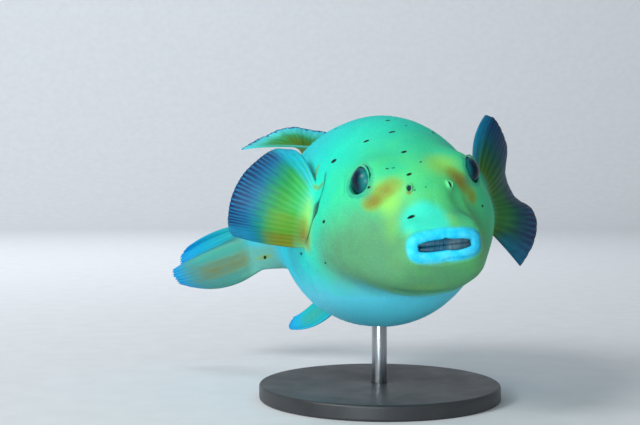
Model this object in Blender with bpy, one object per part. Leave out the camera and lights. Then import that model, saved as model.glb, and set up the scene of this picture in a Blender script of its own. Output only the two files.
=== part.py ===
"""A guineafowl puffer in its yellow phase, life size, turning as it swims, held on a plain display stand.

X is the animal's left, Y runs back towards its tail and Z is up. The origin is the middle of the stand's
underside. The body is worked out straight, with its own origin in the middle of the mouth, and is then
bent sideways along its spine, banked and lifted on to the rod. Every length is in metres.
"""

import math

import bmesh
import bpy
import numpy as np
from mathutils import Matrix

# ---- driving sizes
STANDARD_LENGTH = 0.280      # mouth to the end of the tail stalk
TAIL_FIN_LENGTH = 0.075
GAP = 0.0003                 # left between pieces that touch
SIDES = 44                   # points round the body

# ---- pose
BEND_START = 0.085           # the spine is straight ahead of this
BEND_DEG = 50.0              # sideways turn of the spine from there to the tail, to the animal's right
DROOP_DEG = 10.0             # downward turn over the same length
BANK_DEG = 5.5               # right side down
PITCH_DEG = 0.0              # nose up
BELLY_HEIGHT = 0.045         # lowest point of the belly above the table

# ---- rounded masses of the body: centre and radii
TRUNK = ((0, 0.130, 0.010), (0.066, 0.095, 0.071))
HEAD = ((0, 0.067, 0.017), (0.039, 0.047, 0.042))
SNOUT = ((0, 0.0395, 0.021), (0.021, 0.0215, 0.021))
MUZZLE = ((0, 0.0205, 0.0020), (0.0145, 0.0100, 0.0035), 0.0090)    # a block with rounded corners
CHIN = ((0, 0.044, -0.011), (0.036, 0.039, 0.021))
BROW = ((0.0235, 0.0490, 0.0385), (0.0145, 0.0145, 0.0135))
BELLY_SLANT = 0.14                         # how far the belly lies behind the back, per unit of height
BELLY_TAPER = 0.05                         # how much narrower the body is at the belly
BACK_TAPER = 0.11                          # and at the back
CHEEK = ((0.0310, 0.0720, 0.0080), (0.0200, 0.0300, 0.0260))
RAY_CENTRE = np.array([0, 0.062, 0.0])     # inside the head, level with the mouth
STALK_START, STALK_START_SIZE = 0.170, (0.046, 0.048)
STALK_END_SIZE = (0.0065, 0.0195)          # half width and half depth where the tail fin begins
STALK_LEVEL = 0.008

# ---- where the body is divided
NECK = 0.068
STALK = 0.215

# ---- mouth
MOUTH_HALF = (0.0182, 0.0056)              # centre line of the lips
MOUTH_SQUARENESS = 3.6
LIP_RADIUS = 0.0025
LIP_DEPTH = 0.0042                         # centre line of the lips behind the snout's tip
CAVITY_HALF = (0.0172, 0.0048)
CAVITY_DEPTH = 0.020
TOOTH_WIDTH, TOOTH_HEIGHT, TOOTH_THICKNESS = 0.0145, 0.0038, 0.0030

# ---- eyes
EYE_RADIUS = 0.0095
EYE_CENTRE = (0.0295, 0.0465, 0.0390)

# ---- stand
BASE_RADIUS, BASE_THICKNESS = 0.080, 0.010
ROD_RADIUS = 0.005


def material(name, hex_colour, roughness, metallic=0.0):
    """A plain finish, its colour given as sRGB."""
    made = bpy.data.materials.new(name)
    made.use_nodes = True
    shader = made.node_tree.nodes["Principled BSDF"]
    channels = [int(hex_colour[i:i + 2], 16) / 255 for i in (0, 2, 4)]
    shader.inputs["Base Color"].default_value = [c ** 2.2 for c in channels] + [1]
    shader.inputs["Roughness"].default_value = roughness
    shader.inputs["Metallic"].default_value = metallic
    return made


# ---- the body as a field: negative inside, positive outside
def smoothstep(value, low, high):
    t = np.clip((value - low) / (high - low), 0, 1)
    return t * t * (3 - 2 * t)


def ellipsoid(p, centre, radii):
    """Roughly the distance to an ellipsoid."""
    q = p - np.array(centre)
    r = np.array(radii)
    near = np.linalg.norm(q / r, axis=-1)
    slope = np.linalg.norm(q / r ** 2, axis=-1)
    return near * (near - 1) / np.maximum(slope, 1e-9)


def rounded_block(p, centre, half, rounding):
    """The distance to a block with rounded corners, those included in neither half size."""
    q = abs(p - np.array(centre)) - np.array(half)
    outside = np.linalg.norm(np.maximum(q, 0), axis=-1)
    return outside + np.minimum(q.max(axis=-1), 0) - rounding


def join(a, b, blend):
    """The union of two fields with a fillet of about that size."""
    h = np.clip(0.5 + 0.5 * (b - a) / blend, 0, 1)
    return b + (a - b) * h - blend * h * (1 - h)


def stalk_size(y):
    """Half width and half depth of the rear of the body."""
    t = np.clip((y - STALK_START) / (STANDARD_LENGTH - STALK_START), 0, 1)
    ease = 1 - (1 - t) ** 1.6
    return [a + (b - a) * ease for a, b in zip(STALK_START_SIZE, STALK_END_SIZE)]


def body_level(y):
    """Height of the middle of the body above the mouth."""
    rise = TRUNK[0][2] * smoothstep(y, RAY_CENTRE[1], TRUNK[0][1])
    return rise + (STALK_LEVEL - TRUNK[0][2]) * smoothstep(y, STALK_START, STANDARD_LENGTH)


def body_field(p):
    x, y, z = p[..., 0], p[..., 1], p[..., 2]
    mirrored = np.stack([abs(x), y, z], axis=-1)
    head = join(ellipsoid(p, *HEAD), ellipsoid(p, *SNOUT), 0.014)
    head = join(head, ellipsoid(mirrored, *BROW), 0.010)
    head = join(head, ellipsoid(p, *CHIN), 0.020)
    head = join(head, ellipsoid(mirrored, *CHEEK), 0.020)
    head = join(head, rounded_block(p, *MUZZLE), 0.014)
    wide, deep = stalk_size(y)
    level = body_level(y)
    across = np.sqrt((x / wide) ** 2 + ((z - level) / deep) ** 2)
    rear = (across - 1) * np.minimum(wide, deep)
    rear = np.maximum(rear, STALK_START - y)
    below = np.maximum(TRUNK[0][2] - z, 0)
    above = np.maximum(z - TRUNK[0][2], 0)
    narrow = 1 + (BELLY_TAPER * below + BACK_TAPER * above) / TRUNK[1][2]
    slanted = np.stack([x * narrow, y - BELLY_SLANT * below, z], axis=-1)
    trunk = join(ellipsoid(slanted, *TRUNK), rear, 0.030)
    blend = 0.005 + 0.011 * smoothstep(z, -0.030, 0.020)
    return join(head, trunk, blend)


def cast(origins, directions, reach=0.13):
    """Walks each ray inwards from its reach to the body's surface."""
    t = np.full(directions.shape[:-1], reach)
    for _ in range(70):
        t -= 0.85 * body_field(origins + t[..., None] * directions)
    return origins + t[..., None] * directions


# ---- the spine
SPINE_STEP = 0.001
_y = np.arange(-0.05, STANDARD_LENGTH + 0.12, SPINE_STEP)
_turn = smoothstep(_y, BEND_START, STANDARD_LENGTH + 0.02)
_heading = np.radians(BEND_DEG) * _turn
_drop = np.radians(DROOP_DEG) * _turn
_back = np.stack([
    -np.sin(_heading) * np.cos(_drop),
    np.cos(_heading) * np.cos(_drop),
    -np.sin(_drop),
], axis=-1)
_line = np.cumsum(_back, axis=0) * SPINE_STEP
_line -= _line[np.searchsorted(_y, 0)]


def spine(y):
    """The point of the bent spine at that length, and its left, back and up directions."""
    y = np.asarray(y, float)
    point = np.stack([np.interp(y, _y, _line[:, k]) for k in range(3)], axis=-1)
    back = np.stack([np.interp(y, _y, _back[:, k]) for k in range(3)], axis=-1)
    back /= np.linalg.norm(back, axis=-1, keepdims=True)
    left = np.cross(back, [0, 0, 1.0])
    left /= np.linalg.norm(left, axis=-1, keepdims=True)
    return point, left, back, np.cross(left, back)


def bend(p):
    """Moves points of the straight body to the bent one."""
    point, left, _, up = spine(p[..., 1])
    return point + p[..., :1] * left + p[..., 2:] * up


def turned(p):
    """Banks and pitches points of the bent body."""
    bank, pitch = math.radians(BANK_DEG), math.radians(PITCH_DEG)
    roll = np.array([
        [math.cos(bank), 0, -math.sin(bank)],
        [0, 1, 0],
        [math.sin(bank), 0, math.cos(bank)],
    ])
    nod = np.array([
        [1, 0, 0],
        [0, math.cos(pitch), math.sin(pitch)],
        [0, -math.sin(pitch), math.cos(pitch)],
    ])
    return p @ (nod @ roll).T


# ---- rings round the body
ANGLES = np.arange(SIDES) * 2 * np.pi / SIDES


def mouth_ring(half, depth, angles=ANGLES):
    """A rounded oblong in the plane of the lips."""
    c, s = np.cos(angles), np.sin(angles)
    size = (abs(c) ** MOUTH_SQUARENESS + abs(s) ** MOUTH_SQUARENESS) ** (-1 / MOUTH_SQUARENESS)
    return np.stack([half[0] * c * size, np.full_like(c, depth), half[1] * s * size], axis=-1)


def head_ring(share):
    """A ring of the head: share 0 is round the mouth, 1 lies level with the ray centre."""
    start = mouth_ring(MOUTH_HALF, LIP_DEPTH) - RAY_CENTRE
    start /= np.linalg.norm(start, axis=-1, keepdims=True)
    end = np.stack([np.cos(ANGLES), 0 * ANGLES, np.sin(ANGLES)], axis=-1)
    way = start * (1 - share) + end * share
    way /= np.linalg.norm(way, axis=-1, keepdims=True)
    return cast(RAY_CENTRE, way)


def body_ring(y):
    """A ring of the trunk or the stalk, square to the spine."""
    way = np.stack([np.cos(ANGLES), 0 * ANGLES, np.sin(ANGLES)], axis=-1)
    return cast(np.array([0, y, body_level(y)]), way)


def loft(name, rings, finish):
    """A closed mesh through rings of equally many points, with a fan across each end."""
    mesh = bmesh.new()
    rows = [[mesh.verts.new(p) for p in ring] for ring in rings]
    count = len(rows[0])
    for near, far in zip(rows, rows[1:]):
        for i in range(count):
            mesh.faces.new([near[i], near[(i + 1) % count], far[(i + 1) % count], far[i]])
    for row, ring in ((rows[0], rings[0]), (rows[-1], rings[-1])):
        middle = mesh.verts.new(np.mean(ring, axis=0))
        for i in range(count):
            mesh.faces.new([row[i], row[(i + 1) % count], middle])
    return finished(name, mesh, finish)


def finished(name, mesh, finish):
    """Makes the object, its faces pointing out."""
    bmesh.ops.recalc_face_normals(mesh, faces=mesh.faces)
    data = bpy.data.meshes.new(name)
    mesh.to_mesh(data)
    mesh.free()
    data.materials.append(finish)
    data.shade_smooth()
    made = bpy.data.objects.new(name, data)
    bpy.context.scene.collection.objects.link(made)
    return made


def cut(piece, cutter):
    """Takes the cutter's shape out of the piece."""
    boolean = piece.modifiers.new("cut_" + cutter.name, "BOOLEAN")
    boolean.operation = "DIFFERENCE"
    boolean.solver = "EXACT"
    boolean.object = cutter
    cutter.hide_render = True
    cutter.display_type = "WIRE"


for old in list(bpy.data.objects):
    bpy.data.objects.remove(old)

SKIN = material("yellow_skin", "B8C850", 0.45)
FIN = material("fin_membrane", "B8B060", 0.40)
LIPS = material("lip_skin", "C8D878", 0.40)
EYE = material("eye_glass", "101820", 0.10)
BEAK = material("beak", "8A8478", 0.35)
NOSTRIL = material("nostril_flap", "6C7838", 0.50)
BASE = material("stand_base_finish", "2B2B2D", 0.40)
ROD = material("stand_rod_steel", "A8ACB0", 0.30, 1.0)


# ---- places the finished points over the stand
STAND_AT = (-0.004, 0.128)                 # in the bent body's own frame
TRUNK_STATIONS = np.linspace(NECK + GAP, STALK, 15)
TRUNK_RINGS = [body_ring(y) for y in TRUNK_STATIONS]
_lowest = min(turned(bend(ring))[:, 2].min() for ring in TRUNK_RINGS)
LIFT = np.array([-STAND_AT[0], -STAND_AT[1], BELLY_HEIGHT - _lowest])


def placed(p):
    """Takes points of the straight body to where they are over the stand."""
    return turned(bend(p)) + LIFT


def seat(p, level=GAP):
    """Moves points of the straight body on to its surface, or to a little outside it."""
    step = 1e-5
    for _ in range(16):
        value = body_field(p)
        slope = np.stack([body_field(p + step * e) - value for e in np.eye(3)], axis=-1) / step
        p = p - slope * ((value - level) / np.maximum((slope ** 2).sum(-1), 1e-9))[..., None]
    return p


# ---- fins
def curve(shares, values, at):
    """A smooth line through values given at a few shares of the way."""
    values = np.asarray(values, float)
    found = []
    for k in range(values.shape[1]):
        slopes = np.gradient(values[:, k], shares)
        i = np.clip(np.searchsorted(shares, at, side="right") - 1, 0, len(shares) - 2)
        x0, x1 = np.array(shares)[i], np.array(shares)[i + 1]
        h = x1 - x0
        t = (at - x0) / h
        a, b = values[i, k], values[i + 1, k]
        ma, mb = slopes[i] * h, slopes[i + 1] * h
        t2, t3 = t * t, t * t * t
        found.append((2 * t3 - 3 * t2 + 1) * a + (t3 - 2 * t2 + t) * ma
                     + (3 * t2 - 2 * t3) * b + (t3 - t2) * mb)
    return np.stack(found, axis=-1)


def fin(name, station, root, rays, thickness=(0.0030, 0.0009), columns=17, rows=8):
    """A thin fan. root: points of the straight body. rays: share of the way along the root, how far the
    ray reaches to the left, back and up of the spine at the station, and how far its middle bows."""
    shares = [ray[0] for ray in rays]
    across = np.linspace(0, 1, columns)
    roots = seat(curve(np.linspace(0, 1, len(root)), root, across))
    reach = curve(shares, [ray[1] for ray in rays], across)
    bow = curve(shares, [ray[2] for ray in rays], across)
    _, left, back, up = spine(station)
    frame = np.stack([left, back, up])
    v = np.linspace(0, 1, rows)[None, :, None]
    mid = bend(roots)[:, None] + v * (reach @ frame)[:, None] + 4 * v * (1 - v) * (bow @ frame)[:, None]
    normal = np.cross(np.gradient(mid, axis=0), np.gradient(mid, axis=1))
    normal /= np.linalg.norm(normal, axis=-1, keepdims=True)
    half = 0.5 * (thickness[0] + (thickness[1] - thickness[0]) * v ** 0.6)
    sheets = []
    for side in (1, -1):
        sheet = mid + side * half * normal
        straight = normal[:, 0] @ frame.T
        sheet[:, 0] = bend(seat(roots + side * half[0, 0] * straight))
        sheets.append(turned(sheet) + LIFT)
    return closed_sheets(name, sheets)


def closed_sheets(name, sheets):
    """Joins two grids of points, the two faces of a fin, round their rims."""
    columns, rows = sheets[0].shape[:2]
    mesh = bmesh.new()
    grid = [[[mesh.verts.new(p) for p in row] for row in sheet] for sheet in sheets]
    rim = [(i, 0) for i in range(columns)] + [(columns - 1, j) for j in range(1, rows)]
    rim += [(i, rows - 1) for i in range(columns - 2, -1, -1)] + [(0, j) for j in range(rows - 2, 0, -1)]
    for sheet in grid:
        for i in range(columns - 1):
            for j in range(rows - 1):
                mesh.faces.new([sheet[i][j], sheet[i + 1][j], sheet[i + 1][j + 1], sheet[i][j + 1]])
    for (i, j), (m, n) in zip(rim, rim[1:] + rim[:1]):
        mesh.faces.new([grid[0][i][j], grid[0][m][n], grid[1][m][n], grid[1][i][j]])
    return finished(name, mesh, FIN)


def mm(*values):
    return [v / 1000 for v in values]


# ---- head, with its mouth hollow and a groove round it that the lips lie in
LIP_LINE = mouth_ring(MOUTH_HALF, LIP_DEPTH)
_along = np.roll(LIP_LINE, -1, axis=0) - np.roll(LIP_LINE, 1, axis=0)
LIP_OUT = np.cross(_along, [0, -1.0, 0])
LIP_OUT /= np.linalg.norm(LIP_OUT, axis=-1, keepdims=True)


def round_lips(angle_deg, radius):
    """A ring at that angle round the lips' centre line: 0 is away from the mouth, 90 is backwards."""
    a = math.radians(angle_deg)
    return LIP_LINE + radius * (math.cos(a) * LIP_OUT + math.sin(a) * np.array([0, 1.0, 0]))


head_rings = [
    mouth_ring((CAVITY_HALF[0] * 0.8, CAVITY_HALF[1] * 0.8), CAVITY_DEPTH),
    mouth_ring(CAVITY_HALF, CAVITY_DEPTH * 0.8),
    mouth_ring(CAVITY_HALF, LIP_DEPTH + LIP_RADIUS + 0.0020),
]
head_rings += [round_lips(angle, LIP_RADIUS + GAP) for angle in (100, 55, 10)]
HEAD_SHARES = [0.10, 0.18, 0.27, 0.37, 0.48, 0.60, 0.73, 0.87, 1.0]
head_rings += [head_ring(share) for share in HEAD_SHARES]
head_rings.append(body_ring(NECK))
head = loft("head", [placed(ring) for ring in head_rings], SKIN)


def lips_piece(sides=6):
    """A closed ring of round section along the lips' centre line."""
    mesh = bmesh.new()
    rings = [placed(round_lips(k * 360 / sides, LIP_RADIUS)) for k in range(sides)]
    rows = [[mesh.verts.new(p) for p in ring] for ring in rings]
    for near, far in zip(rows, rows[1:] + rows[:1]):
        for i in range(SIDES):
            mesh.faces.new([near[i], near[(i + 1) % SIDES], far[(i + 1) % SIDES], far[i]])
    return finished("lips", mesh, LIPS)


lips_piece()


def ball(name, centre, radius, finish, segments=20, rings=12):
    """A sphere at a point of the straight body."""
    mesh = bmesh.new()
    move = Matrix.Translation(placed(np.array(centre, float)))
    bmesh.ops.create_uvsphere(mesh, u_segments=segments, v_segments=rings, radius=radius, matrix=move)
    return finished(name, mesh, finish)


for side, label in ((1, "left"), (-1, "right")):
    centre = (side * EYE_CENTRE[0], EYE_CENTRE[1], EYE_CENTRE[2])
    ball("eye_" + label, centre, EYE_RADIUS, EYE)
    cut(head, ball("eye_socket_" + label, centre, EYE_RADIUS + GAP, EYE))


# ---- beak: four plates behind the lips
def tooth(name, side, top):
    """A curved plate from the middle of the jaw outwards."""
    width = np.linspace(0.0004, TOOTH_WIDTH, 7)
    inner, outer = 0.0004, TOOTH_HEIGHT
    mesh = bmesh.new()
    rows = []
    for x in width:
        share = x / TOOTH_WIDTH
        front = LIP_DEPTH + 0.0012 + 0.0030 * share ** 2
        tall = outer - 0.0012 * share ** 3
        corners = [(front, inner), (front - 0.0004, 0.6 * tall), (front + 0.0003, tall),
                   (front + TOOTH_THICKNESS, tall), (front + TOOTH_THICKNESS, inner)]
        ring = np.array([(side * x, y, top * z) for y, z in corners])
        rows.append([mesh.verts.new(p) for p in placed(ring)])
    for near, far in zip(rows, rows[1:]):
        for i in range(5):
            mesh.faces.new([near[i], near[(i + 1) % 5], far[(i + 1) % 5], far[i]])
    mesh.faces.new(rows[0])
    mesh.faces.new(rows[-1])
    made = finished(name, mesh, BEAK)
    made.data.set_sharp_from_angle(angle=math.radians(40))
    return made


for side, label in ((1, "left"), (-1, "right")):
    tooth("tooth_upper_" + label, side, 1)
    tooth("tooth_lower_" + label, side, -1)


# ---- trunk and tail stalk
trunk = loft("trunk", [placed(ring) for ring in TRUNK_RINGS], SKIN)
stalk_rings = [body_ring(y) for y in np.linspace(STALK + GAP, STANDARD_LENGTH, 8)]
stalk = loft("tail_stalk", [placed(ring) for ring in stalk_rings], SKIN)

# ---- paired fins
for side, label, rays in (
    (-1, "right", [
        (0.00, mm(-8, 36, 26), mm(-2, -2, 3)),
        (0.12, mm(-15, 35, 31), mm(-2, -3, 2)),
        (0.28, mm(-26, 31, 31), mm(-2, -4, 1)),
        (0.45, mm(-37, 25, 25), mm(-1, -5, 0)),
        (0.60, mm(-43, 20, 17), mm(-1, -5, 0)),
        (0.75, mm(-44, 18, 12), mm(-1, -5, 0)),
        (0.90, mm(-43, 18, 10), mm(-1, -4, 0)),
        (1.00, mm(-41, 17, 11), mm(-1, -3, -1)),
    ]),
    (1, "left", [
        (0.00, mm(18, 20, 38), mm(-4, 1, 2)),
        (0.12, mm(24, 23, 38), mm(-1, 0, 2)),
        (0.25, mm(29, 28, 32), mm(1, -2, 1)),
        (0.36, mm(33, 35, 25), mm(2, -3, 0)),
        (0.48, mm(32, 43, 14), mm(3, -4, 0)),
        (0.60, mm(35, 38, 1), mm(3, -4, 0)),
        (0.72, mm(43, 30, -3), mm(2, -4, 0)),
        (0.82, mm(45, 27, -11), mm(1, -4, 0)),
        (0.92, mm(41, 27, -22), mm(0, -3, 0)),
        (1.00, mm(33, 28, -31), mm(0, -2, 0)),
    ]),
):
    root = [(side * 0.056, 0.086, 0.038), (side * 0.060, 0.092, 0.020), (side * 0.062, 0.101, 0.000)]
    fin("pectoral_fin_" + label, 0.093, root, rays)

# ---- fins in the middle line, trailing
fin("dorsal_fin", 0.210, [(0, 0.196, 0.070), (0, 0.211, 0.065), (0, 0.226, 0.060)], [
    (0.00, mm(-38, 45, 10), mm(0, 0, 14)),
    (0.35, mm(-27, 46, 17), mm(0, 0, 12)),
    (0.70, mm(-14, 42, 20), mm(0, 0, 6)),
    (1.00, mm(2, 36, 22), mm(0, 0, 2)),
], columns=11)
fin("anal_fin", 0.215, [(0, 0.201, -0.050), (0, 0.215, -0.046), (0, 0.229, -0.042)], [
    (0.00, mm(-25, 28, -13), mm(0, 0, -8)),
    (0.35, mm(-20, 32, -17), mm(0, 0, -4)),
    (0.70, mm(-13, 31, -19), mm(0, 0, 0)),
    (1.00, mm(-4, 25, -20), mm(0, 0, 2)),
], columns=11)


# ---- tail fin, half folded
def tail_fin():
    """A fan from the end of the stalk, its upper part folded behind the lower."""
    columns, rows = 18, 8
    across = np.linspace(0, 1, columns)
    _, left, back, up = spine(STANDARD_LENGTH)
    frame = np.stack([left, back, up])
    start = spine(STANDARD_LENGTH + GAP)[0]
    shares = [0, 0.2, 0.4, 0.6, 0.8, 1]
    roots = curve(shares, [mm(0, 0, z) for z in (-9, -2, 5, 11, 18, 25)], across)
    reach = [share * TAIL_FIN_LENGTH for share in (0.87, 0.97, 1.0, 0.97, 0.96, 0.84)]
    tips = curve(shares, [
        (0, reach[0], -0.009), (-0.003, reach[1], -0.004), (-0.004, reach[2], 0.004),
        (0.002, reach[3], 0.010), (0.006, reach[4], 0.016), (0.004, reach[5], 0.022),
    ], across)
    bow = curve(shares, [
        mm(0, 0, -5), mm(-4, 0, -3), mm(-6, 0, -1), mm(3, 0, 2), mm(5, 0, 6), mm(2, 0, 10),
    ], across)
    v = np.linspace(0, 1, rows)[None, :, None]
    local = roots[:, None] * (1 - v) + tips[:, None] * v + bow[:, None] * 4 * v * (1 - v)
    mid = start + local @ frame
    normal = np.cross(np.gradient(mid, axis=0), np.gradient(mid, axis=1))
    normal /= np.linalg.norm(normal, axis=-1, keepdims=True)
    half = 0.5 * (0.0040 + (0.0010 - 0.0040) * v ** 0.5)
    normal *= np.sign((normal * left).sum(axis=-1, keepdims=True))
    normal[:, 0] = left
    return closed_sheets("tail_fin", [turned(mid + side * half * normal) + LIFT for side in (1, -1)])


tail_fin()

# ---- nostrils
NOSTRIL_AT = (0.0126, 0.0224, 0.0328)


def knob(name, at, radii, height, sides=10):
    """A low rounded flap standing on the skin."""
    foot = seat(np.array(at, float))
    step = 1e-4
    out = np.array([body_field(foot + step * e) - body_field(foot - step * e) for e in np.eye(3)])
    out /= np.linalg.norm(out)
    across = np.cross(out, [0, 0, 1.0])
    across /= np.linalg.norm(across)
    up = np.cross(across, out)
    around = np.arange(sides)[:, None] * 2 * np.pi / sides
    flat = radii[0] * np.cos(around) * across + radii[1] * np.sin(around) * up
    rings = [seat(foot + flat)]
    for size, lift in ((1.0, 0.45), (0.8, 0.8), (0.4, 1.0)):
        rings.append(foot + size * flat + lift * height * out)
    return loft(name, [placed(ring) for ring in rings], NOSTRIL)


for side, label in ((1, "left"), (-1, "right")):
    at = (side * NOSTRIL_AT[0], NOSTRIL_AT[1] - 0.004, NOSTRIL_AT[2] + 0.002)
    knob("nostril_" + label, at, (0.0022, 0.0030), 0.0026)


# ---- gill slits, just ahead of the paired fins
def gill_cutter(name, side):
    line = curve([0, 0.5, 1], [(side * 0.054, 0.0745, 0.040), (side * 0.058, 0.0800, 0.021),
                               (side * 0.062, 0.0930, 0.003)], np.linspace(0, 1, 9))
    line = seat(line, 0)
    rings = []
    for i, p in enumerate(line):
        share = i / (len(line) - 1)
        wide = 0.0003 + 0.0012 * math.sin(math.pi * share)
        deep = 0.0008 + 0.0030 * math.sin(math.pi * share)
        around = np.arange(8) * 2 * np.pi / 8
        rings.append(np.stack([p[0] + side * deep * np.cos(around), p[1] + wide * np.sin(around),
                               np.full(8, p[2])], axis=-1))
    return loft(name, [placed(ring) for ring in rings], SKIN)


for side, label in ((1, "left"), (-1, "right")):
    cut(trunk, gill_cutter("gill_slit_" + label, side))


# ---- stand
def turned_piece(name, profile, finish, segments=48):
    """A solid of revolution about the Z axis through the origin; the profile runs bottom to top."""
    mesh = bmesh.new()
    around = np.arange(segments) * 2 * np.pi / segments
    rows = [[mesh.verts.new((r * math.cos(a), r * math.sin(a), z)) for a in around] for r, z in profile]
    for near, far in zip(rows, rows[1:]):
        for i in range(segments):
            j = (i + 1) % segments
            mesh.faces.new([near[i], near[j], far[j], far[i]])
    mesh.faces.new(rows[0])
    mesh.faces.new(rows[-1])
    made = finished(name, mesh, finish)
    made.data.set_sharp_from_angle(angle=math.radians(40))
    return made


BEVEL = 0.0015
base = turned_piece("stand_base", [
    (BASE_RADIUS - BEVEL, 0), (BASE_RADIUS, BEVEL), (BASE_RADIUS, BASE_THICKNESS - BEVEL),
    (BASE_RADIUS - BEVEL, BASE_THICKNESS),
], BASE)
ROD_FOOT = 0.003
ROD_TOP = BELLY_HEIGHT + 0.012
turned_piece("stand_rod", [(ROD_RADIUS, ROD_FOOT), (ROD_RADIUS, ROD_TOP)], ROD, segments=24)
clearance = [(ROD_RADIUS + GAP, ROD_FOOT - GAP), (ROD_RADIUS + GAP, ROD_TOP + GAP)]
rod_hole = turned_piece("rod_hole", clearance, ROD, segments=24)
cut(base, rod_hole)
cut(trunk, rod_hole)
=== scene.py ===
"""The looks of a guineafowl puffer in its yellow phase, on its display stand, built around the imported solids.

Lengths are in metres. The body is shaped straight, its own origin in the middle of the mouth, X to the
fish's left, Y back and Z up, and is then bent along its spine, banked and set over the stand.
"""

import math

import bmesh
import bpy
import numpy as np
from mathutils import Matrix, Vector
from mathutils.kdtree import KDTree


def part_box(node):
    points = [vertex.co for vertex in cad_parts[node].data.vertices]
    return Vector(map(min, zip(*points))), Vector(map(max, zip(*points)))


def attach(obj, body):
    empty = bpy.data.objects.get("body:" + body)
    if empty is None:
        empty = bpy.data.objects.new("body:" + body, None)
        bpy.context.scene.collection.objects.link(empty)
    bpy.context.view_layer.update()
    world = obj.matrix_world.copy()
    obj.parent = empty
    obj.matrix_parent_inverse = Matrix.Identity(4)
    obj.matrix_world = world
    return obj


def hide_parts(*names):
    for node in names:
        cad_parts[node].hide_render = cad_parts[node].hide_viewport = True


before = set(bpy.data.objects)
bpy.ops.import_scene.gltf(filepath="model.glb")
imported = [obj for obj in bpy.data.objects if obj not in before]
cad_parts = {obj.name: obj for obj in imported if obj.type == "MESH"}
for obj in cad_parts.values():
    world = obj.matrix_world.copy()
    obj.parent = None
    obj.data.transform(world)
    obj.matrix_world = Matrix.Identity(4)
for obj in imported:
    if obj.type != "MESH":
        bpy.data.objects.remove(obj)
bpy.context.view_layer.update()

# ---- camera
# A plain camera a good half metre from the mouth, level with it and a little to the fish's right. The
# near side of the head fills the picture and the tail falls away behind it, with the stand's base just in.
CAMERA_TURN = math.radians(-12.0)
CAMERA_TILT = math.radians(1.2)
CAMERA_AWAY = 0.6112                       # to the middle of the lips
LIPS_RIGHT_OF_AXIS = 0.0692
LIPS_BELOW_AXIS = 0.0185
CAMERA_LENS, CAMERA_SENSOR = 61.875, 36.0

lips_low, lips_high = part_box("lips")
look = Vector((-math.sin(CAMERA_TURN) * math.cos(CAMERA_TILT), math.cos(CAMERA_TURN) * math.cos(CAMERA_TILT),
               -math.sin(CAMERA_TILT)))
right = Vector((math.cos(CAMERA_TURN), math.sin(CAMERA_TURN), 0))
upward = right.cross(look)
lens = bpy.data.cameras.new("camera")
lens.lens, lens.sensor_width = CAMERA_LENS, CAMERA_SENSOR
lens.clip_start = 0.02
camera = bpy.data.objects.new("camera", lens)
camera.matrix_world = Matrix.Translation(
    (lips_low + lips_high) / 2 - CAMERA_AWAY * look - LIPS_RIGHT_OF_AXIS * right + LIPS_BELOW_AXIS * upward
) @ Matrix((right, upward, -look)).transposed().to_4x4()
bpy.context.scene.collection.objects.link(camera)
bpy.context.scene.camera = camera

# ---- body
# The puffer's body is one firm, rounded mass of flesh under tough scaleless skin: a deep trunk, a blunt head
# with a heavy chin and brows, and a thick tail. Here it is a field of rounded masses, walked on to by rays.
STANDARD_LENGTH = 0.280                    # mouth to the end of the tail stalk
BEND_START, BEND_DEG, DROOP_DEG = 0.085, 50.0, 10.0
BANK_DEG = 5.5
TRUNK = ((0, 0.130, 0.010), (0.066, 0.095, 0.071))
HEAD = ((0, 0.067, 0.017), (0.039, 0.047, 0.042))
SNOUT = ((0, 0.0395, 0.021), (0.021, 0.0215, 0.021))
MUZZLE = ((0, 0.0205, 0.0020), (0.0145, 0.0100, 0.0035), 0.0090)
CHIN = ((0, 0.044, -0.011), (0.036, 0.039, 0.021))
BROW = ((0.0235, 0.0490, 0.0385), (0.0145, 0.0145, 0.0135))
CHEEK = ((0.0310, 0.0720, 0.0080), (0.0200, 0.0300, 0.0260))
BELLY_SLANT, BELLY_TAPER, BACK_TAPER = 0.14, 0.05, 0.11
RAY_CENTRE = np.array([0, 0.062, 0.0])     # inside the head, level with the mouth
STALK_START, STALK_START_SIZE = 0.170, (0.046, 0.048)
STALK_END_SIZE, STALK_LEVEL = (0.0065, 0.0195), 0.008
NECK = 0.068                               # where the rings of the head give way to those of the trunk
STAND_AT = (-0.004, 0.128)
SKIN_DEPTH = 0.0006                        # how far the skin lies inside the solids; spinules stand on it
SIDES = 256                                # points round the body
SNOUT_BLEND, BROW_BLEND, CHIN_BLEND, CHEEK_BLEND = 0.014, 0.010, 0.020, 0.020
MUZZLE_BLEND, TAIL_BLEND = 0.014, 0.030
THROAT_BLEND, NAPE_MORE = 0.005, 0.011     # the head joins the trunk more sharply below than above
STALK_EASE = 1.6                           # how early the tail stalk thins


def smoothstep(value, low, high):
    t = np.clip((value - low) / (high - low), 0, 1)
    return t * t * (3 - 2 * t)


def ellipsoid(p, centre, radii):
    """Roughly the distance to an ellipsoid."""
    q = p - np.array(centre)
    r = np.array(radii)
    near = np.linalg.norm(q / r, axis=-1)
    slope = np.linalg.norm(q / r ** 2, axis=-1)
    return near * (near - 1) / np.maximum(slope, TINY)


def rounded_block(p, centre, half, rounding):
    """The distance to a block with rounded corners, those included in neither half size."""
    q = abs(p - np.array(centre)) - np.array(half)
    outside = np.linalg.norm(np.maximum(q, 0), axis=-1)
    return outside + np.minimum(q.max(axis=-1), 0) - rounding


def join(a, b, blend):
    """The union of two fields with a fillet of about that size."""
    h = np.clip(0.5 + 0.5 * (b - a) / blend, 0, 1)
    return b + (a - b) * h - blend * h * (1 - h)


def body_level(y):
    """Height of the middle of the body above the mouth."""
    rise = TRUNK[0][2] * smoothstep(y, RAY_CENTRE[1], TRUNK[0][1])
    return rise + (STALK_LEVEL - TRUNK[0][2]) * smoothstep(y, STALK_START, STANDARD_LENGTH)


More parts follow.
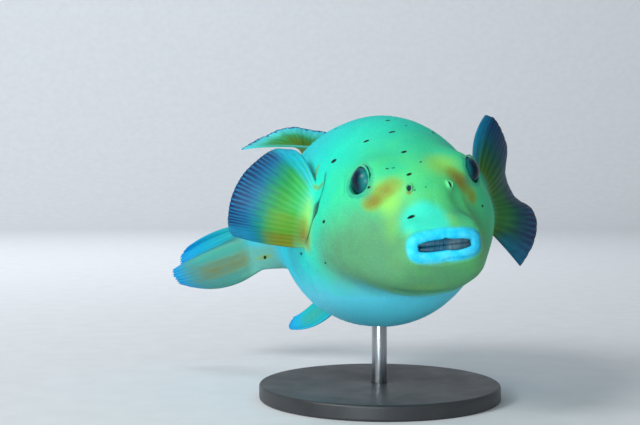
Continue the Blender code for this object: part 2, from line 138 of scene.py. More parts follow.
def body_field(p):
    """Negative inside the straight body, positive outside."""
    x, y, z = p[..., 0], p[..., 1], p[..., 2]
    mirrored = np.stack([abs(x), y, z], axis=-1)
    head = join(ellipsoid(p, *HEAD), ellipsoid(p, *SNOUT), SNOUT_BLEND)
    head = join(head, ellipsoid(mirrored, *BROW), BROW_BLEND)
    head = join(head, ellipsoid(p, *CHIN), CHIN_BLEND)
    head = join(head, ellipsoid(mirrored, *CHEEK), CHEEK_BLEND)
    head = join(head, rounded_block(p, *MUZZLE), MUZZLE_BLEND)
    t = np.clip((y - STALK_START) / (STANDARD_LENGTH - STALK_START), 0, 1)
    ease = 1 - (1 - t) ** STALK_EASE
    wide, deep = [a + (b - a) * ease for a, b in zip(STALK_START_SIZE, STALK_END_SIZE)]
    across = np.sqrt((x / wide) ** 2 + ((z - body_level(y)) / deep) ** 2)
    rear = np.maximum((across - 1) * np.minimum(wide, deep), STALK_START - y)
    below = np.maximum(TRUNK[0][2] - z, 0)
    above = np.maximum(z - TRUNK[0][2], 0)
    narrow = 1 + (BELLY_TAPER * below + BACK_TAPER * above) / TRUNK[1][2]
    slanted = np.stack([x * narrow, y - BELLY_SLANT * below, z], axis=-1)
    trunk = join(ellipsoid(slanted, *TRUNK), rear, TAIL_BLEND)
    return join(head, trunk, THROAT_BLEND + NAPE_MORE * smoothstep(z, -0.030, 0.020))


def slope_at(p, step=1e-5):
    """The field's slope, which points outwards."""
    ways = [body_field(p + step * e) - body_field(p - step * e) for e in np.eye(3)]
    return np.stack(ways, axis=-1) / (2 * step)


SEAT_ROUNDS = 14
CAST_STEPS, CAST_STRIDE = 60, 0.85
TINY = 1e-9                                # keeps a division away from nothing


def seat(p, level=-SKIN_DEPTH):
    """Moves points of the straight body on to its skin, or to another level."""
    for _ in range(SEAT_ROUNDS):
        slope = slope_at(p)
        p = p - slope * ((body_field(p) - level) / np.maximum((slope ** 2).sum(-1), TINY))[..., None]
    return p


def cast(origins, directions, reach=0.13):
    """Walks each ray inwards from its reach to the skin."""
    t = np.full(directions.shape[:-1], reach)
    for _ in range(CAST_STEPS):
        t -= CAST_STRIDE * (body_field(origins + t[..., None] * directions) + SKIN_DEPTH)
    return origins + t[..., None] * directions


SPINE_STEP = 0.001
spine_y = np.arange(-0.05, STANDARD_LENGTH + 0.12, SPINE_STEP)
spine_turn = smoothstep(spine_y, BEND_START, STANDARD_LENGTH + 0.02)
heading, drop = np.radians(BEND_DEG) * spine_turn, np.radians(DROOP_DEG) * spine_turn
spine_back = np.stack([-np.sin(heading) * np.cos(drop), np.cos(heading) * np.cos(drop), -np.sin(drop)],
                      axis=-1)
spine_line = np.cumsum(spine_back, axis=0) * SPINE_STEP
spine_line -= spine_line[np.searchsorted(spine_y, 0)]


def spine(y):
    """The point of the bent spine at that length, and its left, back and up directions."""
    y = np.asarray(y, float)
    point = np.stack([np.interp(y, spine_y, spine_line[:, k]) for k in range(3)], axis=-1)
    back = np.stack([np.interp(y, spine_y, spine_back[:, k]) for k in range(3)], axis=-1)
    back /= np.linalg.norm(back, axis=-1, keepdims=True)
    left = np.cross(back, [0, 0, 1.0])
    left /= np.linalg.norm(left, axis=-1, keepdims=True)
    return point, left, back, np.cross(left, back)


def bend(p):
    """Moves points of the straight body to the bent one."""
    point, left, _, up = spine(p[..., 1])
    return point + p[..., :1] * left + p[..., 2:] * up


bank = math.radians(BANK_DEG)
BANKED = np.array([[math.cos(bank), 0, -math.sin(bank)], [0, 1, 0], [math.sin(bank), 0, math.cos(bank)]])


def ring_ways(angles):
    return np.stack([np.cos(angles), 0 * angles, np.sin(angles)], axis=-1)


ANGLES = np.arange(SIDES) * 2 * np.pi / SIDES


def body_ring(y):
    """A ring of the trunk or the tail, square to the spine."""
    return cast(np.array([0, y, body_level(y)]), ring_ways(ANGLES))


TRUNK_STEP = 0.0020
TAIL_TAPER, TAPER_START = 0.55, 0.252      # how much the stalk narrows where the tail fin's rays begin


def tapered(ring):
    share = smoothstep(ring[:, 1], TAPER_START, STANDARD_LENGTH)
    return ring * np.stack([1 - TAIL_TAPER * share, 1 + 0 * share, 1 + 0 * share], axis=-1)


trunk_rings = [tapered(body_ring(y)) for y in np.arange(NECK, STANDARD_LENGTH - 0.0006, TRUNK_STEP)]
lowest = min((bend(ring) @ BANKED.T)[:, 2].min() for ring in trunk_rings) - SKIN_DEPTH
OVER_STAND = np.array([-STAND_AT[0], -STAND_AT[1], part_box("trunk")[0].z - lowest])


def placed(p):
    """Takes points of the straight body to where they are over the stand."""
    return bend(p) @ BANKED.T + OVER_STAND


FIRST_STATIONS = 60
UNBEND_ROUNDS, UNBEND_STRIDE = 25, 0.7


def unplaced(q):
    """Takes points over the stand back to the straight body."""
    q = (q - OVER_STAND) @ BANKED
    stations = np.linspace(-0.02, STANDARD_LENGTH + 0.08, FIRST_STATIONS)
    y = stations[np.linalg.norm(q[:, None] - spine(stations)[0][None], axis=-1).argmin(axis=1)]
    for _ in range(UNBEND_ROUNDS):
        point, left, back, up = spine(y)
        y = y + UNBEND_STRIDE * ((q - point) * back).sum(axis=-1)
    point, left, back, up = spine(y)
    return np.stack([((q - point) * left).sum(-1), y, ((q - point) * up).sum(-1)], axis=-1)


# ---- head: the creases and folds of its skin
# Firm skin over muscle creases where the jaw, cheeks and gills work: beside the muzzle, under the chin,
# behind the eye, above the pectoral fin and down the flank. The creases are shallow, and pressed into the
# skin, and between them it swells a little.
POCKET_FOLD = [(-0.0490, 0.1020, 0.0520), (-0.0515, 0.0985, 0.0440), (-0.0520, 0.0925, 0.0380),
               (-0.0510, 0.0875, 0.0370), (-0.0495, 0.0850, 0.0400)]
CREASES = [                                # half width, depth and a line; right-hand lines are mirrored
    (0.0080, 0.0003, [(-0.0142, 0.0205, 0.0270), (-0.0172, 0.0180, 0.0200), (-0.0200, 0.0150, 0.0120)]),
    (0.0070, 0.0005, [(0.0142, 0.0205, 0.0270), (0.0172, 0.0180, 0.0200), (0.0190, 0.0150, 0.0130),
                      (0.0200, 0.0120, 0.0080)]),
    (0.0075, 0.0012, [(-0.0200, 0.0300, -0.0265), (-0.0105, 0.0255, -0.0290), (0, 0.0240, -0.0295)]),
    (0.0036, 0.0007, POCKET_FOLD),
    (0.0030, 0.0006, [(-0.0440, 0.0620, 0.0500), (-0.0465, 0.0570, 0.0420), (-0.0455, 0.0530, 0.0340)]),
    (0.0070, 0.0004, [(-0.0560, 0.1060, -0.0100), (-0.0590, 0.1150, -0.0240), (-0.0570, 0.1250, -0.0380)]),
]
SWELLINGS = [                              # centre, radii, height: muzzle ridge, cheek, gill cover, temple
    ((-0.0060, 0.0160, 0.0230), (0.0110, 0.0120, 0.0150), 0.0006),
    ((-0.0330, 0.0350, 0.0060), (0.0160, 0.0160, 0.0140), 0.0009),
    ((-0.0480, 0.0720, 0.0240), (0.0140, 0.0120, 0.0200), 0.0007),
    ((-0.0300, 0.0600, 0.0600), (0.0160, 0.0160, 0.0120), 0.0005),
]
UNDULATION, UNDULATION_SIZE = 0.00007, 0.016
FOLD_UNEVEN, FOLD_WAVE = 0.25, 0.006       # how far a crease's depth varies, and over what length


def crease(p, line, width):
    """1 on a line through the given points, fading to 0 at that distance from it."""
    line = seat(np.array(line, float))
    nearest = np.full(p.shape[:-1], np.inf)
    for a, b in zip(line, line[1:]):
        t = np.clip(((p - a) @ (b - a)) / ((b - a) @ (b - a)), 0, 1)
        nearest = np.minimum(nearest, np.linalg.norm(p - a - t[..., None] * (b - a), axis=-1))
    return np.clip(1 - (nearest / width) ** 2, 0, 1) ** 2


def folded(p, line, width):
    """The crease along a line on the left side, or along one on the right side and its mirror image."""
    return crease(p if line[0][0] > 0 else mirrored_right(p), line, width)


def near(p, centre, radii):
    """1 at the centre, fading smoothly to 0 at the radii."""
    q = (p - np.array(centre)) / np.array(radii)
    return np.clip(1 - (q ** 2).sum(axis=-1), 0, 1) ** 2


def mirrored_right(p):
    return np.stack([-abs(p[..., 0]), p[..., 1], p[..., 2]], axis=-1)


def waves(p, size, seed):
    """Slow, uneven waves between about -1 and 1."""
    random = np.random.default_rng(seed)
    total = 0
    for _ in range(7):
        way = random.normal(size=3)
        way *= 2 * np.pi / (size * random.uniform(0.7, 2.0) * np.linalg.norm(way))
        total = total + np.sin(p @ way + random.uniform(0, 2 * np.pi))
    return total / 4


def relief(p):
    """How far the skin stands out from the plain form."""
    half = mirrored_right(p)
    raised = UNDULATION * waves(p, UNDULATION_SIZE, 5)
    for width, depth, line in CREASES:
        uneven = 1 + FOLD_UNEVEN * waves(p, FOLD_WAVE, 6)
        raised = raised - depth * folded(p, line, width) * uneven
    for centre, radii, height in SWELLINGS:
        raised = raised + height * near(half, centre, radii)
    return raised


def pressed(p):
    """Points of the plain skin, moved by its relief."""
    out = slope_at(p)
    return p + out / np.linalg.norm(out, axis=-1, keepdims=True) * relief(p)[..., None]


# ---- mouth: thick lips, and the skin that lines the mouth behind them
# The lips are a rounded oblong roll of soft, pale skin, a little swollen at the corners, with a notch in
# the middle of the upper one and fine wrinkles across. They turn in behind to line the hollow of the mouth.
MOUTH_HALF, MOUTH_SQUARENESS = (0.0182, 0.0056), 3.8
LIP_RADIUS, LIP_DEPTH = 0.0025, 0.0042
CAVITY_HALF, CAVITY_DEPTH = (0.0172, 0.0048), 0.020
LIP_WRINKLES, WRINKLE_HEIGHT = 88, 0.00005
LIP_PEAK, PEAK_AT, PEAK_WIDTH = 0.0005, 0.0015, 0.0030          # the upper lip rises a little there
LIP_NOTCH, NOTCH_AT, NOTCH_WIDTH = 0.13, 0.0010, 0.0016         # and thins by that share
CORNER_SWELL, CORNER_WIDTH = 0.09, 0.0050
LIP_UNEVEN, LIP_WAVE = 0.12, 0.011
LIP_FLAT = 0.20                            # how much the roll is flattened in front
LIP_START_DEG, LIP_END_DEG, LIP_RINGS = -235, 10, 24
LINING = [(0.55, 1.0), (0.85, 0.97), (0.97, 0.86), (1.0, 0.70), (1.0, 0.52), (1.0, 0.40)]   # width, depth


def mouth_ring(half, depth):
    """A rounded oblong in the plane of the lips."""
    c, s = np.cos(ANGLES), np.sin(ANGLES)
    size = (abs(c) ** MOUTH_SQUARENESS + abs(s) ** MOUTH_SQUARENESS) ** (-1 / MOUTH_SQUARENESS)
    return np.stack([half[0] * c * size, np.full_like(c, depth), half[1] * s * size], axis=-1)


lip_line = mouth_ring(MOUTH_HALF, LIP_DEPTH)
lip_line[:, 2] += LIP_PEAK * np.exp(-((lip_line[:, 0] - PEAK_AT) / PEAK_WIDTH) ** 2)
lip_along = np.roll(lip_line, -1, axis=0) - np.roll(lip_line, 1, axis=0)
lip_out = np.cross(lip_along, [0, -1.0, 0])
lip_out /= np.linalg.norm(lip_out, axis=-1, keepdims=True)
lip_length = np.cumsum(np.linalg.norm(lip_along, axis=-1)) / np.linalg.norm(lip_along, axis=-1).sum()
notch = np.exp(-((lip_line[:, 0] - NOTCH_AT) / NOTCH_WIDTH) ** 2) * (lip_line[:, 2] > 0)
corner = np.exp(-((abs(lip_line[:, 0]) - MOUTH_HALF[0]) / CORNER_WIDTH) ** 2)
lip_swell = 1 - LIP_NOTCH * notch + CORNER_SWELL * corner + LIP_UNEVEN * waves(lip_line, LIP_WAVE, 8)
wrinkle_phase = 2 * np.pi * LIP_WRINKLES * lip_length + 2 * waves(lip_line, 0.008, 9)
lip_swell += WRINKLE_HEIGHT / LIP_RADIUS * np.sin(wrinkle_phase)


def round_lips(angle_deg):
    """A ring at that angle round the lips' centre line: 0 is away from the mouth, 90 is backwards."""
    a = math.radians(angle_deg)
    flat = 1 - LIP_FLAT * math.sin(a) ** 2
    across = math.cos(a) * lip_out + flat * math.sin(a) * np.array([0, 1.0, 0])
    return lip_line + LIP_RADIUS * lip_swell[:, None] * across


def head_ring(share):
    """A ring of the head: share 0 is round the mouth, 1 lies level with the ray centre."""
    start = mouth_ring(MOUTH_HALF, LIP_DEPTH) - RAY_CENTRE
    start /= np.linalg.norm(start, axis=-1, keepdims=True)
    way = start * (1 - share) + ring_ways(ANGLES) * share
    way /= np.linalg.norm(way, axis=-1, keepdims=True)
    return cast(RAY_CENTRE, way)


HEAD_RINGS, RINGS_CROWD = 84, 1.25         # rings lie closer together towards the mouth
FIRST_SHARE = 0.082                        # where the skin meets the outside of the lips
head_shares = FIRST_SHARE + (1 - FIRST_SHARE) * np.linspace(0, 1, HEAD_RINGS) ** RINGS_CROWD
skin_rings = [pressed(head_ring(share)) for share in head_shares]
skin_rings += [pressed(ring) for ring in trunk_rings]
skin_rings.append(pressed(tapered(body_ring(STANDARD_LENGTH - 0.0006))))
lip_rings = [round_lips(angle) for angle in np.linspace(LIP_START_DEG, LIP_END_DEG, LIP_RINGS)]
lining = [mouth_ring((CAVITY_HALF[0] * s, CAVITY_HALF[1] * s), CAVITY_DEPTH * d) for s, d in LINING]


def loft(name, rings):
    """A closed mesh through rings of equally many points, with a fan across each end."""
    count = len(rings[0])
    points = np.concatenate([*rings, [rings[0].mean(axis=0)], [rings[-1].mean(axis=0)]])
    faces = []
    for row in range(len(rings) - 1):
        a, b = row * count, (row + 1) * count
        faces += [(a + i, a + (i + 1) % count, b + (i + 1) % count, b + i) for i in range(count)]
    last = (len(rings) - 1) * count
    faces += [((i + 1) % count, i, len(points) - 2) for i in range(count)]
    faces += [(last + i, last + (i + 1) % count, len(points) - 1) for i in range(count)]
    return solid(name, points, faces)


def solid(name, points, faces):
    """A mesh object of these points and faces, its faces pointing out."""
    data = bpy.data.meshes.new(name)
    data.from_pydata([tuple(p) for p in points], [], faces)
    tidy = bmesh.new()
    tidy.from_mesh(data)
    bmesh.ops.recalc_face_normals(tidy, faces=tidy.faces)
    tidy.to_mesh(data)
    tidy.free()
    data.shade_smooth()
    made = bpy.data.objects.new(name, data)
    bpy.context.scene.collection.objects.link(made)
    return made


skin = loft("skin", [placed(ring) for ring in lining + lip_rings + skin_rings])

# ---- fins
# Soft rays under thin skin, spread like the sticks of a fan: they stand up as ridges on both faces, fork
# towards the margin and end in a scalloped edge. The flesh of the body runs a little way out along them.
MEMBRANE = 0.86                            # its thickness as a share of the rays'
ROOT_SINK, ROOT_DEPTH = 0.0004, 0.0030     # where a fin starts below the surface, and how deep it runs on
PLEAT = 0.00007                            # how far the membrane waves from side to side
POINTS_PER_RAY = 6
FORK_FROM, FORK_TO = 0.45, 0.80            # the rays fork between these shares of the way out
UNEVEN = 0.010                             # how far the rays stray from even spacing, of the fin's spread
FLESHY = 0.007                             # length over which the body's colours give way to the fin's
FIN_ROWS, FIN_THICKNESS = 26, (0.0030, 0.0009)                  # thickness at the root and at the margin
RAISED_FROM = 0.22                         # share of the way out where the rays stand fully raised
THIN_EDGE, EDGE_THICKNESS = 0.012, 0.55    # the first and last rays thin to that share of their thickness


def curve(shares, values, at):
    """A smooth line through values given at a few shares of the way."""
    values = np.asarray(values, float)
    found = []
    for k in range(values.shape[1]):
        slopes = np.gradient(values[:, k], shares)
        i = np.clip(np.searchsorted(shares, at, side="right") - 1, 0, len(shares) - 2)
        x0, x1 = np.array(shares)[i], np.array(shares)[i + 1]
        h = x1 - x0
        t = (at - x0) / h
        t2, t3 = t * t, t * t * t
        found.append((2 * t3 - 3 * t2 + 1) * values[i, k] + (t3 - 2 * t2 + t) * slopes[i] * h
                     + (3 * t2 - 2 * t3) * values[i + 1, k] + (t3 - t2) * slopes[i + 1] * h)
    return np.stack(found, axis=-1)


def ray_ridge(across, v, count):
    """1 along the rays, which fork beyond the middle, and 0 on the membrane between them."""
    phase = across * count
    whole = 0.5 + 0.5 * np.cos(2 * np.pi * (phase - 0.5))
    forked = 0.5 + 0.5 * np.cos(4 * np.pi * (phase - 0.25))
    share = smoothstep(v, FORK_FROM, FORK_TO)
    return (whole * (1 - share) + (0.35 * whole + 0.65 * forked) * share) ** 1.3


def closed_sheets(sheets):
    """Joins two grids of points, the two faces of a fin, round their rims."""
    columns, rows = sheets[0].shape[:2]
    number = np.arange(2 * columns * rows).reshape(2, columns, rows)
    faces = []
    for side in range(2):
        n = number[side]
        faces += np.stack([n[:-1, :-1], n[1:, :-1], n[1:, 1:], n[:-1, 1:]], axis=-1).reshape(-1, 4).tolist()
    rim = [(i, 0) for i in range(columns)] + [(columns - 1, j) for j in range(1, rows)]
    rim += [(i, rows - 1) for i in range(columns - 2, -1, -1)] + [(0, j) for j in range(rows - 2, 0, -1)]
    for (i, j), (m, n) in zip(rim, rim[1:] + rim[:1]):
        faces.append([number[0, i, j], number[0, m, n], number[1, m, n], number[1, i, j]])
    return np.concatenate([sheet.reshape(-1, 3) for sheet in sheets]), faces


def fan(name, across, v, mid, inner, count, thickness, scallop, left=None, seed=0):
    """A fin from the grid of its middle surface: rays raised, edge scalloped, root row carried inwards."""
    random = np.random.default_rng(seed)
    lengths = random.uniform(-1, 1, count + 2) * 0.5
    uneven = np.interp(across * count, np.arange(count + 2) - 0.5, lengths)
    ridge = ray_ridge(across[:, None], v[None, :], count)
    edge = scallop * ((ray_ridge(across, np.ones_like(across), count) - 0.6) + uneven)
    tips = (mid[:, -1] - mid[:, -4]) / np.linalg.norm(mid[:, -1] - mid[:, -4], axis=-1, keepdims=True)
    mid = mid + (edge[:, None] * v ** 4)[..., None] * tips[:, None]
    normal = np.cross(np.gradient(mid, axis=0), np.gradient(mid, axis=1))
    normal /= np.linalg.norm(normal, axis=-1, keepdims=True)
    if left is not None:
        normal *= np.sign((normal * left).sum(axis=-1, keepdims=True))
        normal[:, 0] = left
    body = smoothstep(v, 0.0, RAISED_FROM)[None, :]
    half = 0.5 * (thickness[0] + (thickness[1] - thickness[0]) * v[None, :] ** 0.6)
    half = half * (1 - body * (1 - MEMBRANE) * (1 - ridge))
    pleat = PLEAT * body * np.cos(2 * np.pi * (across[:, None] * count - 0.5)) * v[None, :]
    mid = mid + pleat[..., None] * normal
    edges = np.minimum(smoothstep(across, 0, THIN_EDGE), smoothstep(1 - across, 0, THIN_EDGE))
    half = half * (EDGE_THICKNESS + (1 - EDGE_THICKNESS) * edges[:, None])
    sheets = []
    for side in (1, -1):
        sheet = mid + side * half[..., None] * normal
        root = inner + side * 0.8 * half[:, :1] * normal[:, 0]
        sheets.append(np.concatenate([root[:, None], sheet], axis=1))
    points, faces = closed_sheets([sheet @ BANKED.T + OVER_STAND for sheet in sheets])
    steps = np.linalg.norm(np.diff(mid, axis=1), axis=-1)
    run = np.concatenate([np.zeros((len(across), 1)), np.cumsum(steps, axis=1)], axis=1)
    u = np.repeat(across[:, None], len(v) + 1, axis=1)
    vv = np.concatenate([np.zeros((len(across), 1)), np.repeat(v[None], len(across), axis=0)], axis=1)
    flesh = np.concatenate([np.zeros((len(across), 1)), np.clip(run / FLESHY, 0, 1)], axis=1)
    marks = np.tile(np.stack([u, vv, flesh], axis=-1).reshape(-1, 3), (2, 1))
    fins.append({"name": name, "points": points, "faces": faces, "marks": marks, "count": count})


fins = []


def body_fin(name, station, root, rays, count, scallop=0.0007, seed=0):
    """A fan standing on the body. rays: share of the way along the root, how far the ray reaches to the
    left, back and up of the spine at the station, and how far its middle bows, all in millimetres."""
    shares = [ray[0] for ray in rays]
    across = np.linspace(0, 1, count * POINTS_PER_RAY + 1)
    line = curve(np.linspace(0, 1, len(root)), root, across)
    _, left, back, up = spine(station)
    axes = np.stack([left, back, up])
    v = np.linspace(0, 1, FIN_ROWS)
    w = v[None, :, None]
    spread = across + UNEVEN * np.sin(2 * np.pi * (4.3 * across + 0.13 * seed)) * 4 * across * (1 - across)
    reach = curve(shares, [ray[1] for ray in rays], spread) @ axes / 1000
    bow = curve(shares, [ray[2] for ray in rays], spread) @ axes / 1000
    outside, inside = bend(seat(line, -ROOT_SINK)), bend(seat(line, -ROOT_DEPTH))
    mid = outside[:, None] + w * reach[:, None] + 4 * w * (1 - w) * bow[:, None]
    fan(name, across, v, mid, inside, count, FIN_THICKNESS, scallop, seed=seed)


PECTORAL_RAYS = {
    "right": [
        (0.00, (-11, 30, 22), (1, -1, 7)), (0.12, (-15, 30, 28.5), (0, -2, 5)),
        (0.28, (-26, 28, 29), (-1, -4, 2)), (0.45, (-37, 24, 24.5), (-1, -5, 0)),
        (0.60, (-43, 20, 17), (-1, -5, 0)), (0.75, (-44, 18, 12), (-1, -5, 0)),
        (0.90, (-43, 18, 10), (-1, -4, 0)), (1.00, (-41, 17, 11), (-1, -3, -1)),
    ],
    "left": [
        (0.00, (18, 20, 38), (-4, 1, 2)), (0.12, (24, 23, 38), (-1, 0, 2)),
        (0.25, (29, 28, 32), (1, -2, 1)), (0.36, (33, 35, 25), (2, -3, 0)),
        (0.48, (32, 43, 14), (3, -4, 0)), (0.60, (35, 38, 1), (3, -4, 0)),
        (0.72, (43, 30, -3), (2, -4, 0)), (0.82, (45, 27, -11), (1, -4, 0)),
        (0.92, (41, 27, -22), (0, -3, 0)), (1.00, (33, 28, -31), (0, -2, 0)),
    ],
}
PECTORAL_TOPS = {"right": (-0.054, 0.092, 0.042), "left": (0.056, 0.086, 0.038)}
for side, label in ((-1, "right"), (1, "left")):
    root = [PECTORAL_TOPS[label], (side * 0.060, 0.092, 0.020), (side * 0.062, 0.101, 0.000)]
    body_fin("pectoral_" + label, 0.093, root, PECTORAL_RAYS[label], count=17, seed=20 + side)

# The dorsal fin is spread across the fish, and the anal fin trails down and back to its right.
body_fin("dorsal", 0.210, [(0, 0.194, 0.071), (0, 0.210, 0.065), (0, 0.226, 0.060)], [
    (0.00, (-42, 45, 10), (0, 0, 2)), (0.35, (-11, 44, 25), (0, 0, 3)),
    (0.70, (16, 32, 37), (0, 0, 3)), (1.00, (46, 14, 36), (0, 0, 2)),
], count=10, scallop=0.0010, seed=31)
body_fin("anal", 0.215, [(0, 0.203, -0.050), (0, 0.213, -0.046), (0, 0.223, -0.043)], [
    (0.00, (-25, 28, -12.5), (0, 0, -5)), (0.35, (-21, 31, -16), (0, 0, -5)),
    (0.70, (-17, 30, -17), (0, 0, -4)), (1.00, (-11, 26, -16), (0, 0, -2)),
], count=10, scallop=0.0009, seed=32)

# The tail fin is half folded: its upper part lies behind the lower, past a sharp pleat.
TAIL_FIN_LENGTH = 0.075
TAIL_RAYS, TAIL_POINTS_PER_RAY, TAIL_ROWS = 10, 8, 30
TAIL_THICKNESS, TAIL_SCALLOP = (0.0046, 0.0010), 0.0032
TAIL_STATIONS = [                          # share, root height, reach, tip left and up, bow left and up
    (0.00, -11, 0.87, (0, -9), (0, -6)), (0.18, -1, 0.97, (-3, -4), (-4, -3)),
    (0.36, 8, 1.00, (-5, 3), (-6, 0)), (0.50, 18, 0.985, (-4, 7.5), (-5, 1)),
    (0.58, 20, 0.96, (2, 8), (2, 1)), (0.72, 22, 0.97, (4, 12), (4, 2)),
    (0.86, 24, 0.955, (6, 17), (4, 3)), (1.00, 26.5, 0.84, (4, 22), (2, 4)),
]
tail_across = np.linspace(0, 1, TAIL_RAYS * TAIL_POINTS_PER_RAY + 1)
tail_v = np.linspace(0, 1, TAIL_ROWS)
_, tail_left, tail_back, tail_up = spine(STANDARD_LENGTH)
tail_axes = np.stack([tail_left, tail_back, tail_up])
tail_shares = [station[0] for station in TAIL_STATIONS]
tail_roots = curve(tail_shares, [(0, 0, s[1] / 1000) for s in TAIL_STATIONS], tail_across)
tail_tips = curve(tail_shares, [(s[3][0] / 1000, s[2] * TAIL_FIN_LENGTH, s[3][1] / 1000)
                                for s in TAIL_STATIONS], tail_across)
tail_bows = curve(tail_shares, [(s[4][0] / 1000, 0, s[4][1] / 1000) for s in TAIL_STATIONS], tail_across)
w = tail_v[None, :, None]
tail_local = tail_roots[:, None] * (1 - w) + tail_tips[:, None] * w + tail_bows[:, None] * 4 * w * (1 - w)
tail_start = spine(STANDARD_LENGTH - 0.0012)[0]
tail_inside = spine(STANDARD_LENGTH - 0.0060)[0] + (tail_roots * (0.9, 1, 0.9)) @ tail_axes
fan("tail", tail_across, tail_v, tail_start + tail_local @ tail_axes, tail_inside, TAIL_RAYS,
    TAIL_THICKNESS, TAIL_SCALLOP, left=tail_left, seed=33)

# ---- lids and nostrils
# Each eye sits in a round opening whose edge is a low roll of skin. Each nostril is a small forked cup of
# skin with a dark hollow, in front of the eye. The gill slit is a narrow curved cut that gapes halfway.
EYE_RADIUS = 0.0095
EYE_CENTRE = (0.0295, 0.0465, 0.0390)
EYE_AZIMUTH = {1: 39.0, -1: 72.0}          # degrees from straight ahead; the eyes turn on their own
EYE_RISE = 6.4
EYE_OPENING = 0.0082                       # radius of what shows of the eye
EYE_GAP = 0.0003                           # between the ball and its socket
LID_RADIUS, LID_FLAT = 0.00080, 0.50
NOSTRIL_AT = (0.0128, 0.0205, 0.0340)
NOSTRIL_RADII, NOSTRIL_WALL, NOSTRIL_HEIGHT = (0.0017, 0.0026), 0.00065, 0.0021
NOSTRIL_ROOT = 0.0012                      # how deep its foot reaches into the head
NOSTRIL_OUTLINE = [(2.2, -0.9), (1.5, 0.0), (1.1, 0.45), (0.75, 0.85), (0.2, 1.0), (-0.55, 0.92),
                   (-1.0, 0.5), (-1.1, 0.1), (-1.2, -0.5)]      # out in half walls; up in heights or roots
NOSTRIL_POINTS = 40
GILL_LINE = [(0.0455, 0.0870, 0.0460), (0.0490, 0.0812, 0.0388), (0.0527, 0.0790, 0.0315),
             (0.0553, 0.0813, 0.0245), (0.0581, 0.0841, 0.0168), (0.0598, 0.0885, 0.0100),
             (0.0608, 0.0962, 0.0023)]
GILL_POINTS, GILL_STATIONS = 14, 56
GILL_END, GILL_MIDDLE, GILL_GAPE = 0.00025, 0.00035, 0.0038     # half widths: each adds to those before
GILL_DEPTH_END, GILL_DEPTH_MIDDLE = 0.0006, 0.0022
GILL_LEAN = 0.35                           # how much the cut runs in under the gill cover
GAPE_AT, GAPE_LENGTH = 0.50, 0.10          # shares of the way down the slit
LID_POINTS, LID_STATIONS = 14, 112
SOCKET_POINTS, SOCKET_ROWS = 96, 18


def axes_at(axis, upright=(0, 0, 1.0)):
    """Two directions square to the axis, the second of them upright, and the axis."""
    axis = np.array(axis, float) / np.linalg.norm(axis)
    across = np.cross(upright, axis)
    across /= np.linalg.norm(across)
    return across, np.cross(axis, across), axis


def hoop(name, rings):
    """A closed mesh of rings joined end to end."""
    count, total = len(rings[0]), len(rings)
    faces = [(r * count + i, r * count + (i + 1) % count, (r + 1) % total * count + (i + 1) % count,
              (r + 1) % total * count + i) for r in range(total) for i in range(count)]
    return solid(name, np.concatenate(rings), faces)


def eye_frame(side):
    """An eye's centre, and its directions across, up and out of the head."""
    turn, rise = math.radians(EYE_AZIMUTH[side]), math.radians(EYE_RISE)
    axis = (side * math.sin(turn) * math.cos(rise), -math.cos(turn) * math.cos(rise), math.sin(rise))
    return np.array(EYE_CENTRE) * (side, 1, 1), *axes_at(axis)


def lid(side):
    """A low roll of skin round the eye's opening, thicker above than below."""
    centre, across, up, out = eye_frame(side)
    level = math.sqrt(EYE_RADIUS ** 2 - EYE_OPENING ** 2)
    around = np.arange(LID_POINTS) * 2 * np.pi / LID_POINTS
    rings = []
    for turn in np.arange(LID_STATIONS) * 2 * np.pi / LID_STATIONS:
        way = math.cos(turn) * across + math.sin(turn) * up
        fat = LID_RADIUS * (1 + 0.18 * math.sin(turn))
        middle = centre + (level + 0.0001) * out + (EYE_OPENING + 0.78 * fat) * way
        rings.append(placed(middle + fat * (np.cos(around)[:, None] * way
                                            + LID_FLAT * np.sin(around)[:, None] * out)))
    return hoop("lid", rings)


def socket(side):
    """What is cut out of the head for an eye: a cup as round as the eye, open to the outside."""
    centre, across, up, out = eye_frame(side)
    around = np.arange(SOCKET_POINTS) * 2 * np.pi / SOCKET_POINTS
    cup, mouth = EYE_RADIUS + EYE_GAP, EYE_OPENING - 0.0001
    profile = [(cup * math.sin(a), -cup * math.cos(a))
               for a in np.linspace(0.12, math.pi - math.asin(mouth / cup), SOCKET_ROWS)]
    profile += [(mouth + 0.0001, 0.0085), (mouth + 0.0006, 0.0120)]
    rings = [placed(centre + h * out + r * (np.cos(around)[:, None] * across + np.sin(around)[:, None] * up))
             for r, h in profile]
    return loft("socket", rings)


def nostril(side):
    """A small cup of skin, taller at its inner and outer sides, whose hollow ends in the head."""
    foot = seat(np.array(NOSTRIL_AT) * (side, 1, 1))
    across, up, out = axes_at(slope_at(foot))
    around = np.arange(NOSTRIL_POINTS) * 2 * np.pi / NOSTRIL_POINTS
    lobe = NOSTRIL_HEIGHT * (0.45 + 0.55 * abs(np.cos(around)) ** 1.2)
    rings = []
    for grow, lift in NOSTRIL_OUTLINE:
        wide = [radius + grow * NOSTRIL_WALL * 0.5 for radius in NOSTRIL_RADII]
        flat = (wide[0] * np.cos(around))[:, None] * across + (wide[1] * np.sin(around))[:, None] * up
        height = lift * lobe if lift > 0 else np.full_like(lobe, lift * NOSTRIL_ROOT)
        rings.append(placed(foot + flat + height[:, None] * out))
    return loft("nostril", rings)


